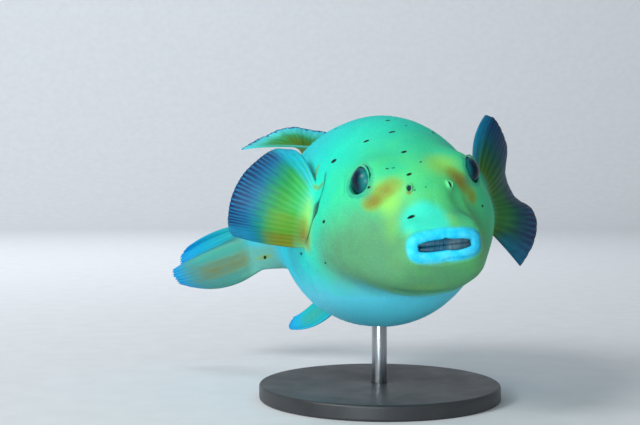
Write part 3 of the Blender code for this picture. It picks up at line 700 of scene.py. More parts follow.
def gill_slit(side):
    """What is cut out for a gill slit: a narrow curved groove that gapes halfway down."""
    line = seat(curve(np.linspace(0, 1, len(GILL_LINE)), np.array(GILL_LINE) * (side, 1, 1),
                      np.linspace(0, 1, GILL_STATIONS)), -SKIN_DEPTH)
    along = np.gradient(line, axis=0)
    around = np.arange(GILL_POINTS) * 2 * np.pi / GILL_POINTS
    rings = []
    for i, p in enumerate(line):
        share = i / (len(line) - 1)
        full = math.sin(math.pi * min(share * 1.02, 1)) ** 0.7
        gape = math.exp(-((share - GAPE_AT) / GAPE_LENGTH) ** 2)
        wide = GILL_END + GILL_MIDDLE * full + GILL_GAPE * gape
        deep = GILL_DEPTH_END + GILL_DEPTH_MIDDLE * full
        out = slope_at(p)
        out /= np.linalg.norm(out)
        across = np.cross(along[i] / np.linalg.norm(along[i]), out)
        lean = out - GILL_LEAN * across
        deeper = p + deep * np.cos(around)[:, None] * lean
        rings.append(placed(deeper + wide * np.sin(around)[:, None] * across))
    return loft("gill_slit", rings)


MERGE, SLIVER = 0.000010, 0.000005         # points closer than the first are one; shorter edges go
LIP_BLEND, LID_BLEND, SEAM_BLEND = (0.0022, 10), (0.0030, 24), (0.0032, 12)     # reach and rounds
RELAX_STRENGTH, RELAX_FULL = 0.6, 0.7      # of a round, and how far in from the reach's edge it is full
MICROMETRES = 1e6


def combined(piece, other, operation):
    """The piece after a Boolean with the other, which is used up. Slivers it leaves are cleared away."""
    boolean = piece.modifiers.new("join", "BOOLEAN")
    boolean.operation, boolean.solver, boolean.object = operation, "EXACT", other
    graph = bpy.context.evaluated_depsgraph_get()
    data = bpy.data.meshes.new_from_object(piece.evaluated_get(graph))
    piece.modifiers.clear()
    piece.data = data
    bpy.data.objects.remove(other)
    tidy = bmesh.new()
    tidy.from_mesh(data)
    bmesh.ops.remove_doubles(tidy, verts=tidy.verts, dist=MERGE)
    bmesh.ops.dissolve_degenerate(tidy, edges=tidy.edges, dist=SLIVER)
    bmesh.ops.triangulate(tidy, faces=[face for face in tidy.faces if len(face.verts) > 4])
    tidy.to_mesh(data)
    tidy.free()


def corners(data):
    found = np.zeros(len(data.vertices) * 3)
    data.vertices.foreach_get("co", found)
    return found.reshape(-1, 3)


def relaxed(data, seeds, reach, rounds):
    """Smooths the skin near the seeds, which are points over the stand, so that pieces flow together."""
    points = corners(data)
    tree = KDTree(len(seeds))
    for i, p in enumerate(seeds):
        tree.insert(p, i)
    tree.balance()
    low, high = seeds.min(axis=0) - reach, seeds.max(axis=0) + reach
    weight = np.zeros(len(points))
    for i in np.flatnonzero(((points > low) & (points < high)).all(axis=1)):
        weight[i] = 1 - min(tree.find(points[i])[2] / reach, 1)
    weight = RELAX_STRENGTH * smoothstep(weight, 0, RELAX_FULL)
    ends = np.zeros(len(data.edges) * 2, dtype=np.int64)
    data.edges.foreach_get("vertices", ends)
    ends = ends.reshape(-1, 2)
    ends = ends[(weight[ends] > 0).any(axis=1)]
    count = np.bincount(ends.ravel(), minlength=len(points))[:, None]
    for _ in range(rounds):
        total = np.zeros_like(points)
        np.add.at(total, ends[:, 0], points[ends[:, 1]])
        np.add.at(total, ends[:, 1], points[ends[:, 0]])
        points += weight[:, None] * (total / np.maximum(count, 1) - points) * (count > 0)
    data.vertices.foreach_set("co", points.ravel())
    data.update()


def new_corners(data, sources):
    """The points of a mesh that none of the sources has: where the pieces meet."""
    known = set()
    for source in sources:
        known.update(map(tuple, np.round(source * MICROMETRES).astype(np.int64).tolist()))
    points = corners(data)
    keys = map(tuple, np.round(points * MICROMETRES).astype(np.int64).tolist())
    return points[[key not in known for key in keys]]


relaxed(skin.data, placed(lip_rings[-1]), *LIP_BLEND)
lids = [lid(1), lid(-1)]
before = [corners(piece.data) for piece in [skin, *lids]]
for piece in lids:
    combined(skin, piece, "UNION")
relaxed(skin.data, new_corners(skin.data, before), *LID_BLEND)
for cutter in (socket(1), socket(-1), gill_slit(1), gill_slit(-1)):
    combined(skin, cutter, "DIFFERENCE")
additions = [solid(fin["name"], fin["points"], fin["faces"]) for fin in fins] + [nostril(1), nostril(-1)]
before = [corners(piece.data) for piece in [skin, *additions]]
for piece in additions:
    combined(skin, piece, "UNION")
seams = new_corners(skin.data, before)

# ---- markings
# A yellow puffer seen through blue-green water: turquoise back, green face, olive jaws and a pale blue
# belly, with ochre smudges under the eyes and at the fins' roots, and a scatter of small black spots.
OCHRE_PATCHES = [                          # centre, radii and strength, straight body
    ((-0.0320, 0.0350, 0.0260), (0.0085, 0.0120, 0.0075), 0.9),
    ((-0.0265, 0.0320, 0.0315), (0.0105, 0.0130, 0.0090), 0.7),
    ((-0.0190, 0.0290, 0.0360), (0.0105, 0.0130, 0.0090), 0.6),
    ((-0.0128, 0.0205, 0.0306), (0.0024, 0.0060, 0.0020), 1.0),
    ((0.0170, 0.0300, 0.0385), (0.0090, 0.0120, 0.0090), 0.6),
    ((0.0230, 0.0310, 0.0325), (0.0100, 0.0120, 0.0095), 0.9),
    ((0.0295, 0.0340, 0.0245), (0.0070, 0.0110, 0.0080), 0.8),
    ((0.0140, 0.0250, 0.0290), (0.0035, 0.0070, 0.0030), 0.3),
    ((-0.0250, 0.0150, -0.0080), (0.0070, 0.0160, 0.0110), 0.18),
    ((-0.0060, 0.0200, -0.0225), (0.0240, 0.0160, 0.0060), 0.30),
    ((0.0230, 0.0130, -0.0090), (0.0040, 0.0120, 0.0060), 0.45),
    ((-0.0610, 0.0960, 0.0100), (0.0110, 0.0130, 0.0200), 0.90),
    ((0.0600, 0.0920, 0.0180), (0.0080, 0.0120, 0.0200), 0.45),
    ((0, 0.2200, 0.0620), (0.0080, 0.0140, 0.0090), 0.50),
    ((-0.0060, 0.2700, -0.0010), (0.0070, 0.0220, 0.0035), 0.60),
]
YELLOW_PATCHES = [
    ((0.0120, 0.0330, 0.0440), (0.0200, 0.0250, 0.0140), 0.9),
    ((-0.0230, 0.0310, 0.0300), (0.0200, 0.0220, 0.0160), 0.9),
    ((-0.0240, 0.0220, 0.0130), (0.0090, 0.0200, 0.0250), 0.45),
    ((0.0260, 0.0320, 0.0280), (0.0120, 0.0200, 0.0160), 0.7),
    ((0.0070, 0.0110, 0.0130), (0.0090, 0.0140, 0.0080), 0.5),
    ((-0.0590, 0.0930, 0.0190), (0.0140, 0.0170, 0.0250), 0.95),
]
SPOTS = [                                  # place on the straight body and size, in millimetres
    (-0.5, 94, 75.5, 1.2), (8, 83, 71, 0.7), (-4.5, 73, 67.5, 1.5), (-21, 75, 63.5, 1.4),
    (-6.5, 44.5, 54.5, 1.3), (-0.5, 32.5, 48, 0.6), (-40, 86, 53, 1.7), (-20.5, 35, 45.5, 0.5),
    (-16.5, 34.5, 45.5, 0.45), (-10, 27, 41.5, 1.1), (-15, 14, 18, 1.6), (-54, 67, 17, 1.1),
    (-52.5, 82, -9.5, 0.8), (-62, 109, -4, 1.1), (37.5, 38, 18, 0.9), (-3, 19, 33, 0.4),
    (-32, 36.5, 35.5, 0.7), (-9.5, 20, 32, 0.4), (-7, 266, -1.5, 1.4), (26, 88, 64, 1.3),
    (44, 96, 50, 1.4), (52, 120, 38, 1.1), (20, 128, 76, 1.5), (-24, 132, 74, 1.2), (4, 162, 74, 1.3),
    (58, 142, 10, 1.1), (60, 118, -8, 0.9), (34, 174, 50, 1.4), (-34, 178, 48, 1.3), (12, 205, 58, 1.1),
    (40, 196, 12, 1.0), (-44, 200, 14, 1.1), (14, 236, 30, 1.3), (-16, 228, 34, 1.0), (9, 262, 6, 1.0),
    (52, 70, 14, 1.1), (30, 58, 56, 0.8), (48, 160, -30, 0.8),
]
JAW = ((-0.0160, 0.0480, -0.0100), (0.1000, 0.0950, 0.0620))
# Painted highlight: the muzzle's lit side, on the fish's right, is painted a paler turquoise.
MUZZLE_HIGHLIGHT = ((-0.0085, 0.0100, 0.0140), (0.0225, 0.0260, 0.0200))
MUZZLE_FLANK_SHADE = ((0.0145, 0.0090, 0.0125), (0.0120, 0.0180, 0.0150))             # shaded
FACE_FROM, FACE_TO = 0.026, 0.072          # the face's colours give way to the trunk's over that length
STALK_FROM, STALK_TO = 0.235, 0.262        # and the trunk's to the tail stalk's
SPOT_LENGTH, SPOT_LEAN = 1.6, 0.35         # a spot is longer across than up, and rises to the fish's left
SPOT_FAR = 9.0                             # what counts as out of reach of every spot, in spots
KEYS_PER_METRE = 2e4                       # twentieths of a millimetre


def rounded_keys(p):
    """Points as whole numbers of a small length, to look them up by."""
    return list(map(tuple, np.round(p * KEYS_PER_METRE).astype(np.int64).tolist()))


points = corners(skin.data)
fin_marks = np.zeros((len(points), 3))
fin_number = np.zeros(len(points), dtype=np.int64)
keys = rounded_keys(points)
for number, fin in enumerate(fins, start=1):
    rows = dict(zip(rounded_keys(fin["points"]), fin["marks"]))
    for i, key in enumerate(keys):
        if key in rows:
            fin_marks[i] = rows[key]
            fin_number[i] = number

relaxed(skin.data, seams, *SEAM_BLEND)
points = corners(skin.data)
straight = unplaced(points)
right_half = mirrored_right(straight)
left_half = right_half * (-1, 1, 1)
on_body = 1 - fin_marks[:, 2]
x, y, z = straight.T


def spot_reach(p):
    """Where each point lies in its nearest black spot, in that spot's sizes, and how far off it is."""
    best = np.full(len(p), np.inf)
    offsets = np.full((len(p), 3), SPOT_FAR)
    for *place, size in SPOTS:
        place = tapered(seat(np.array([place]) / 1000))[0]
        across, up, out = axes_at(slope_at(place))
        across, up = across + SPOT_LEAN * up, up - SPOT_LEAN * across
        q = (p - place) / (size / 1000)
        length = np.linalg.norm(q, axis=-1)
        closer = length < best
        offset = np.stack([q @ across / SPOT_LENGTH, q @ up, q @ out / SPOT_LENGTH], axis=-1)
        offsets[closer] = offset[closer]
        best = np.minimum(best, length)
    return np.clip(offsets, -SPOT_FAR, SPOT_FAR), np.minimum(best, SPOT_FAR)


def distance_to(line, mask):
    """How far the masked points of the straight body's left half are from a line of points."""
    tree = KDTree(len(line))
    for i, p in enumerate(line):
        tree.insert(p, i)
    tree.balance()
    found = np.full(len(points), 1.0)
    for i in np.flatnonzero(mask):
        found[i] = tree.find(left_half[i])[2]
    return found


def set_marks(data, name, values):
    """A named value, or vector, at every point of the mesh."""
    kind = "FLOAT" if values.ndim == 1 else "FLOAT_VECTOR"
    made = data.attributes.new(name, kind, "POINT")
    made.data.foreach_set("value" if kind == "FLOAT" else "vector", values.astype(np.float32).ravel())


spot, spot_far = spot_reach(straight)
ochre = sum(strength * near(straight, centre, radii) for centre, radii, strength in OCHRE_PATCHES)
ochre = ochre + 0.7 * crease(right_half, POCKET_FOLD, 0.0028) * (x < 0)
yellow = sum(strength * near(straight, centre, radii) for centre, radii, strength in YELLOW_PATCHES)
whole_lip = np.concatenate([lip_line, lip_line * (-1, 1, 1)])
lip_distance = distance_to(whole_lip, (y < 0.014) & (abs(x) < 0.026) & (abs(z) < 0.013))
lip = 1 - smoothstep(lip_distance, LIP_RADIUS * 1.04, LIP_RADIUS * 1.04 + 0.0020)
inside_mouth = smoothstep(y, 0.0058, 0.0095) * (abs(x) < CAVITY_HALF[0] + 0.002) * (abs(z) < 0.0062)
inside_mouth = inside_mouth * (body_field(straight) < -0.0022) * (y < CAVITY_DEPTH + 0.004)

# Nostrils: the cup's hollow is painted dark, as shade, and its rim is pale.
nostril_at = seat(np.array(NOSTRIL_AT))
nostril_across, nostril_up, _ = axes_at(slope_at(nostril_at))
from_nostril = left_half - nostril_at
nostril_x = abs(from_nostril @ nostril_across) / NOSTRIL_RADII[0]
nostril_flat = np.hypot(nostril_x, from_nostril @ nostril_up / NOSTRIL_RADII[1])
nostril_far = np.linalg.norm(from_nostril, axis=-1)
pit = (1 - smoothstep(nostril_flat, 0.62, 0.86)) * (nostril_far < 0.006)
nostril_rim = near(left_half, nostril_at, (0.0048, 0.0060, 0.0055)) * (1 - pit)

# Eyes: the socket's wall is painted dark, as shade; the lid is painted with shade, and with a thin pale
# crescent above that is a painted highlight; and a soft painted shadow lies below in front, where the ball
# swells the skin.
EYE_REGION = 0.030
SHADE_OUT, SHADE_ACROSS, SHADE_DOWN, SHADE_RADIUS = 0.0075, 0.0080, 0.0060, 0.0085
LID_SHADE, LID_HIGHLIGHT = 0.9, 0.40
inside_socket, lid_highlight, painted_shade, eye_far = np.zeros((4, len(points)))
eye_far += 1.0
for side in (1, -1):
    centre, across, up, out = eye_frame(side)
    q = straight - centre
    reach, level = np.linalg.norm(q, axis=-1), q @ out
    flat = np.sqrt(np.maximum(reach ** 2 - level ** 2, 0))
    here = (x * side > 0) & (reach < EYE_REGION)
    wall = (reach < EYE_RADIUS + 2 * EYE_GAP) & (body_field(straight) < -2 * SKIN_DEPTH)
    inside_socket += here * (wall | (flat < EYE_OPENING - 0.0001) & (level > 0))
    edge = smoothstep(0.0018 - abs(flat - EYE_OPENING - 0.0010), 0, 0.0010) * (level > 0.002)
    risen = (q @ up + 0.5 * q @ across * side) / np.maximum(flat, TINY)
    lid_highlight += here * edge * LID_HIGHLIGHT * smoothstep(risen, 0.3, 0.9)
    shade_at = centre + SHADE_OUT * out - SHADE_ACROSS * across * side - SHADE_DOWN * up
    painted_shade += here * (near(straight, shade_at, (SHADE_RADIUS,) * 3) + LID_SHADE * edge)
    eye_far = np.where(here & (level > 0), np.minimum(eye_far, flat), eye_far)
lid_highlight = lid_highlight * (1 - np.clip(inside_socket, 0, 1))
# Painted shade on the muzzle's left flank, away from the light.
painted_shade += near(straight, *MUZZLE_FLANK_SHADE)

# Gills, folds and broad colours: the slits are painted dark inside and the creases a little darker than the
# skin round them, as painted shade. Jaws, belly and tail stalk each have a wide soft patch of colour, and the
# muzzle's lit side a soft painted highlight.
GILL_DARKNESS, GILL_REACH, GILL_FOLD = 0.85, 0.0065, 0.0030
gill_places = seat(curve(np.linspace(0, 1, len(GILL_LINE)), GILL_LINE, np.linspace(0, 1, 80)))
gill_region = (abs(x) > 0.042) & (y > 0.07) & (y < 0.105) & (z > -0.006) & (z < 0.052)
gill_near = distance_to(gill_places, gill_region)
below_skin = smoothstep(-body_field(straight), SKIN_DEPTH + 0.0006, SKIN_DEPTH + 0.0014)
gill = (gill_near < GILL_REACH) * below_skin * (on_body > 0.99) * GILL_DARKNESS
# Painted shade in the creases, and in a band along each gill slit.
folds = sum(min(depth / 0.0011, 1) * folded(straight, line, width * 0.8) for width, depth, line in CREASES)
folds = folds + 0.8 * near(gill_near[:, None], (0,), (GILL_FOLD,)) * (on_body > 0.99)
face = 1 - smoothstep(y, FACE_FROM, FACE_TO)
belly = smoothstep(-z, 0.004 + 0.018 * face, 0.046 - 0.008 * face) * smoothstep(y, 0.012, 0.050)
belly = np.maximum(belly, smoothstep(-z, 0.0265, 0.034) * smoothstep(y, 0.014, 0.030))
jaw = smoothstep(near(straight, *JAW), 0, 0.95)
muzzle = smoothstep(near(straight, *MUZZLE_HIGHLIGHT), 0, 0.80)
stalk = smoothstep(y, STALK_FROM, STALK_TO) * smoothstep(-z, -0.020, 0.000)
# Painted shade in the hollows: inside the mouth, the nostrils' pits, the sockets and the gill slits.
dark = np.maximum.reduce([inside_mouth, pit, np.clip(inside_socket, 0, 1) * 0.95, gill])

# Spinules: the skin is bare on the fins and lips and in the hollows, a little way round the lips, eyes,
# nostrils and gill slits, and at the end of the tail, and the face has fewer.
LIPS_BARE, EYES_BARE = (0.0045, 0.0080), (0.0105, 0.0125)       # until some stand, and until all do
NOSTRILS_BARE, GILLS_BARE = 0.0055, 0.004
TAIL_BARE = (-0.270, -0.255)
spines = on_body * (fin_marks[:, 2] <= 0) * (1 - lip) * (1 - dark) * smoothstep(eye_far, *EYES_BARE)
spines = spines * smoothstep(lip_distance, *LIPS_BARE) * (nostril_far > NOSTRILS_BARE)
spines = spines * smoothstep(-y, *TAIL_BARE) * (1 - 0.5 * face) * (gill_near > GILLS_BARE)

# An unwrap of the skin's own shape: turns round the body across, and from the muzzle to the tail up.
UNWRAP_NECK, UNWRAP_LENGTH = 0.35, 0.225
unwrap_turn = np.arctan2(z - body_level(y), x) / (2 * np.pi) + 0.5
to_centre = straight - RAY_CENTRE
polar = np.arccos(np.clip(-to_centre[:, 1] / np.linalg.norm(to_centre, axis=-1), -1, 1)) / (np.pi / 2)
unwrap_along = np.where(y < RAY_CENTRE[1], UNWRAP_NECK * polar,
                        UNWRAP_NECK + (1 - UNWRAP_NECK) * (y - RAY_CENTRE[1]) / UNWRAP_LENGTH)
unwrap = 0.01 + 0.98 * np.stack([unwrap_turn, unwrap_along, 0 * y], axis=-1)
for name, values in {
    "straight": straight, "spot": spot, "spot_far": spot_far, "marks": fin_marks, "ochre": ochre,
    "yellow": yellow, "lip": lip, "dark": np.clip(dark, 0, 1), "folds": np.clip(folds, 0, 1), "belly": belly,
    "jaw": jaw, "muzzle": muzzle, "shade": np.clip(painted_shade, 0, 1), "stalk": stalk,
    "rim": np.clip(lid_highlight + nostril_rim * 0.6, 0, 1), "spines": spines, "lie": spine(y)[2] @ BANKED.T,
    "unwrap": unwrap,
}.items():
    set_marks(skin.data, name, values)

# ---- skin: fresh, satin, faintly translucent hide over flesh
# Puffer skin is tough, scaleless and smooth to the eye, with the bases of its spinules showing as a fine
# pale grain. The museum finish is a satin lacquer, so light spreads softly on it with a low gloss.
GRAIN = 0.0011                             # spacing of the spinules' bases
MOTTLE = 0.012                             # size of the soft blotches
PORES = 0.00045
LIP_MOTTLE = 0.0050
BACK_SHADES = [(0.02, "58CC70"), (0.12, "40CE84"), (0.22, "2CD49C"), (0.32, "14D8BA"), (0.46, "08CEDA"),
               (0.72, "08C0E0"), (0.98, "18BCD4")]       # along the body, from the muzzle to the tail
PAINT = [                                  # mark, where it starts and is full, strength and colour
    ("jaw", 0.00, 1.00, 0.90, "5A8E62"),
    # painted highlight on the muzzle's lit side
    ("muzzle", 0.00, 1.00, 0.95, "34E2C2"),
    ("yellow", 0.00, 1.10, 0.85, "94DA50"),
    ("stalk", 0.00, 1.00, 0.85, "68A48E"),
    ("belly", 0.00, 1.00, 0.95, "60DCF4"),
    ("ochre", 0.05, 0.60, 0.70, "84A428"),
    ("ochre", 0.30, 1.15, 0.85, "8A6E02"),
    # painted shade in the creases and along the gill slits
    ("folds", 0.00, 1.00, 0.35, "207868"),
    # painted shade round the eyes' lids, below in front of the eyes, and on the muzzle's left flank
    ("shade", 0.00, 1.00, 0.55, "1E8C7C"),
    # pale nostril rims, and a painted highlight on the lids' upper edges
    ("rim", 0.00, 1.00, 0.45, "98DCA8"),
]


def colour(hex_colour):
    """An sRGB hex colour as linear RGBA."""
    channels = [int(hex_colour[i:i + 2], 16) / 255 for i in (0, 2, 4)]
    return [c / 12.92 if c <= 0.04045 else ((c + 0.055) / 1.055) ** 2.4 for c in channels] + [1]


def node(tree, kind, inputs, out=0, stops=(), **settings):
    """Adds a node with its settings and links, and gives one of its outputs, or the node itself. inputs: a
    socket's name or number, and a value, a hex colour or the output that feeds it. stops: a ramp's."""
    made = tree.nodes.new(kind)
    for key, value in settings.items():
        setattr(made, key, value)
    for key, value in inputs.items():
        socket = made.inputs[key]
        if isinstance(value, bpy.types.NodeSocket):
            tree.links.new(value, socket)
        else:
            tinted = isinstance(value, str) and socket.type == "RGBA"
            socket.default_value = colour(value) if tinted else value
    for i, (place, tint) in enumerate(stops):
        if i > 1:
            made.color_ramp.elements.new(place)
        stop = made.color_ramp.elements[i]
        stop.position, stop.color = place, colour(tint)
    return made if out is None else made.outputs[out]


def new_material(name):
    made = bpy.data.materials.new(name)
    made.use_nodes = True
    made.node_tree.nodes.clear()
    return made, made.node_tree


def finished(tree, inputs):
    """Ends a material in its surface shader."""
    surface = node(tree, "ShaderNodeBsdfPrincipled", inputs)
    node(tree, "ShaderNodeOutputMaterial", {"Surface": surface}, out=None)


def body_colours(tree):
    """The colours of the body's own skin, from the marks on the mesh, and the height of its grain."""
    place = node(tree, "ShaderNodeAttribute", {}, out="Vector", attribute_name="straight")
    split = node(tree, "ShaderNodeSeparateXYZ", {0: place}, out=None)
    mottle = node(tree, "ShaderNodeTexNoise", {"Vector": place, "Scale": 1 / MOTTLE, "Detail": 3.0})
    fine = node(tree, "ShaderNodeTexNoise", {"Vector": place, "Scale": 1 / PORES, "Detail": 2.0})
    cells = node(tree, "ShaderNodeTexVoronoi", {"Vector": place, "Scale": 1 / GRAIN, "Randomness": 0.8})
    drift = node(tree, "ShaderNodeMath", {0: mottle, 1: 0.030, 2: -0.015}, operation="MULTIPLY_ADD")
    along = node(tree, "ShaderNodeMath", {0: split.outputs[1], 1: drift}, operation="ADD")
    along = node(tree, "ShaderNodeMapRange", {0: along, 1: 0.0, 2: STANDARD_LENGTH})
    shade = node(tree, "ShaderNodeValToRGB", {0: along}, stops=BACK_SHADES)
    high = node(tree, "ShaderNodeMath", {0: split.outputs[2], 1: drift}, operation="ADD")
    crown = node(tree, "ShaderNodeMapRange", {0: high, 1: 0.040, 2: 0.072, 4: 0.35})
    shade = node(tree, "ShaderNodeMix", {0: crown, 6: shade, 7: "18D2AC"}, out=2, data_type="RGBA")
    for name, start, full, strength, tint in PAINT:
        value = node(tree, "ShaderNodeAttribute", {}, out="Fac", attribute_name=name)
        wobble = node(tree, "ShaderNodeMath", {0: mottle, 1: 0.9, 2: 0.55}, operation="MULTIPLY_ADD")
        value = node(tree, "ShaderNodeMath", {0: value, 1: wobble}, operation="MULTIPLY")
        share = node(tree, "ShaderNodeMapRange", {0: value, 1: start, 2: full, 4: strength},
                     interpolation_type="SMOOTHSTEP")
        shade = node(tree, "ShaderNodeMix", {0: share, 6: shade, 7: tint}, out=2, data_type="RGBA")
    grain = node(tree, "ShaderNodeMapRange", {0: cells, 1: 0.10, 2: 0.42, 3: 1.0, 4: 0.0})
    sparse = node(tree, "ShaderNodeMapRange", {0: fine, 1: 0.42, 2: 0.66, 4: 0.26})
    seen = node(tree, "ShaderNodeMath", {0: grain, 1: sparse}, operation="MULTIPLY")
    shade = node(tree, "ShaderNodeMix", {0: seen, 6: shade, 7: "B4F0D8"}, out=2, data_type="RGBA")
    blotch = node(tree, "ShaderNodeMapRange", {0: mottle, 1: 0.35, 2: 0.65, 4: 0.10})
    shade = node(tree, "ShaderNodeMix", {0: blotch, 6: shade, 7: "1C8C78"}, out=2, data_type="RGBA")
    lip_noise = node(tree, "ShaderNodeTexNoise", {"Vector": place, "Scale": 1 / LIP_MOTTLE, "Detail": 2.0})
    lip_colour = node(tree, "ShaderNodeValToRGB", {0: lip_noise}, stops=[
        (0.30, "1CC2EC"), (0.52, "30D8FA"), (0.75, "5CE6FF")])
    # Painted shade: the lips darken towards the fish's left, away from the light.
    shaded = node(tree, "ShaderNodeMapRange", {0: split.outputs[0], 1: 0.006, 2: 0.018, 4: 0.75})
    lip_colour = node(tree, "ShaderNodeMix", {0: shaded, 6: lip_colour, 7: "209CC0"}, out=2, data_type="RGBA")
    lip = node(tree, "ShaderNodeAttribute", {}, out="Fac", attribute_name="lip")
    shade = node(tree, "ShaderNodeMix", {0: lip, 6: shade, 7: lip_colour}, out=2, data_type="RGBA")
    offset = node(tree, "ShaderNodeAttribute", {}, out="Vector", attribute_name="spot")
    reach = node(tree, "ShaderNodeVectorMath", {0: offset}, out=1, operation="LENGTH")
    ragged = node(tree, "ShaderNodeMath", {0: fine, 1: 0.5, 2: reach}, operation="MULTIPLY_ADD")
    black = node(tree, "ShaderNodeMapRange", {0: ragged, 1: 1.05, 2: 1.35, 3: 1.0, 4: 0.0})
    far = node(tree, "ShaderNodeAttribute", {}, out="Fac", attribute_name="spot_far")
    here = node(tree, "ShaderNodeMapRange", {0: far, 1: 2.3, 2: 3.0, 3: 1.0, 4: 0.0})
    black = node(tree, "ShaderNodeMath", {0: black, 1: here}, operation="MULTIPLY")
    shade = node(tree, "ShaderNodeMix", {0: black, 6: shade, 7: "04100F"}, out=2, data_type="RGBA")
    # Painted shade in the hollows: the mouth, nostrils, sockets and gill slits.
    hollow = node(tree, "ShaderNodeAttribute", {}, out="Fac", attribute_name="dark")
    shade = node(tree, "ShaderNodeMix", {0: hollow, 6: shade, 7: "062A36"}, out=2, data_type="RGBA")
    height = node(tree, "ShaderNodeMath", {0: fine, 1: 0.6, 2: grain}, operation="MULTIPLY_ADD")
    return shade, height


def satin_skin(tree, base, height, bump):
    """The satin surface that body and fins share."""
    gloss = node(tree, "ShaderNodeMapRange", {0: height, 1: 0.2, 2: 1.4, 3: 0.56, 4: 0.44})
    raised = node(tree, "ShaderNodeBump", {"Strength": bump, "Distance": 0.00025, "Height": height})
    finished(tree, {
        "Base Color": base, "Roughness": gloss, "Normal": raised, "IOR": 1.40, "Specular IOR Level": 0.30,
        "Subsurface Weight": 0.12, "Subsurface Radius": (0.5, 1.0, 0.9), "Subsurface Scale": 0.0022})


# Satin hide: the light spreads softly on it, and a little of it comes back from the flesh below.
hide, tree = new_material("satin_puffer_skin")
satin_skin(tree, *body_colours(tree), 0.40)
skin.data.materials.clear()
skin.data.materials.append(hide)

# ---- fin skins: thin, wet-looking membrane between paler rays
# Ochre and yellow at the root, green and teal beyond, and a navy margin into which the rays run as light
# blue lines. Each fin has its own shades, the left pectoral's darker than the right's as painted shade; the
# tail and anal fins stay pale.
FIN_FINISHES = {                           # stops from root to margin for membrane and rays, and washes
    "pectoral_right": {                    # over them: from and to across, from and to outwards, strength
        "membrane": [(0.0, "5CB850"), (0.20, "34A440"), (0.42, "148C4C"), (0.58, "04786C"), (0.72, "005C84"),
                     (0.86, "063C64"), (1.0, "002450")],
        "rays": [(0.0, "64C060"), (0.22, "44B444"), (0.45, "1EA050"), (0.62, "088C84"), (0.78, "00709C"),
                 (0.92, "0474A4"), (1.0, "0A84B4")],
        "washes": [(-0.1, 0.16, -0.1, 1.1, 0.80, "00BCD4"), (0.16, 0.48, -0.1, 0.25, 0.50, "2CC888"),
                   (0.55, 1.1, -0.1, 0.45, 0.65, "6C8C10"), (0.80, 1.1, 0.02, 0.50, 0.60, "8C6C04"),
                   (0.35, 0.80, 0.20, 0.50, 0.20, "70A818"), (0.80, 1.1, 0.66, 1.1, 0.80, "0888AC")],
    },
    # Its colours are darker than the right fin's: painted shade, as it faces away from the light.
    "pectoral_left": {
        "membrane": [(0.0, "648424"), (0.20, "2C6428"), (0.42, "0C4C3C"), (0.62, "004454"), (0.80, "003054"),
                     (1.0, "001C44")],
        "rays": [(0.0, "709030"), (0.25, "3C7830"), (0.50, "106450"), (0.75, "045474"), (1.0, "046094")],
        "washes": [(-0.1, 0.07, -0.1, 1.1, 0.70, "0C80A4"), (0.50, 0.90, 0.05, 0.45, 0.40, "34904C"),
                   (0.93, 1.1, 0.3, 1.1, 0.60, "0080A4")],
    },
    "dorsal": {
        "membrane": [(0.0, "6C7C0C"), (0.30, "54800C"), (0.55, "308C24"), (0.72, "2CA060"), (0.80, "40C8B0"),
                     (0.94, "48D4DC"), (0.98, "0C5088"), (1.0, "08306C")],
        "rays": [(0.0, "7C880C"), (0.35, "609018"), (0.60, "389C34"), (0.76, "38B880"), (0.84, "54D8CC"),
                 (0.95, "58DCEC"), (1.0, "1870B0")],
        "washes": [(-0.1, 0.05, -0.1, 1.1, 0.60, "38C4C8"), (0.50, 1.1, -0.1, 0.66, 0.50, "7C8C08")],
    },
    "anal": {
        "membrane": [(0.0, "0CA8C4"), (0.30, "14A4A8"), (0.60, "18A8AC"), (0.90, "04A0D0"), (1.0, "0084C0")],
        "rays": [(0.0, "18B4C4"), (0.50, "28B4A8"), (1.0, "18B8E4")],
        "washes": [(0.35, 0.75, 0.15, 0.70, 0.45, "409878"), (-0.1, 0.08, -0.1, 1.1, 0.5, "08B4DC")],
    },
    "tail": {
        "membrane": [(0.0, "48A89C"), (0.25, "1CA0A8"), (0.60, "089CB8"), (0.90, "0090C8"), (1.0, "0080C0")],
        "rays": [(0.0, "58B4A8"), (0.35, "28B4B8"), (0.70, "14B0C8"), (1.0, "14B4E4")],
        "washes": [(-0.1, 0.50, -0.1, 0.84, 0.80, "588C70"), (0.15, 0.36, 0.0, 0.62, 0.45, "7C8040"),
                   (0.17, 0.19, 0.05, 0.72, 0.75, "6C6C2C"), (0.24, 0.27, -0.05, 0.62, 0.90, "78681C"),
                   (0.32, 0.33, 0.05, 0.78, 0.60, "5C6834"), (0.39, 0.46, 0.05, 0.70, 0.60, "3CB49C"),
                   # The last wash is a dark band along the pleat: painted shade.
                   (0.02, 0.07, 0.2, 0.8, 0.45, "246C68"), (0.50, 0.53, 0.05, 0.95, 0.90, "083C48")],
    },
}
WASH_EDGE = 0.035                          # how softly a wash ends, across and, three times that, outwards
CLOUDS_PER_RAY, CLOUDS_OUTWARDS = 2.3, 5.0
RAY_STRENGTH = 0.60
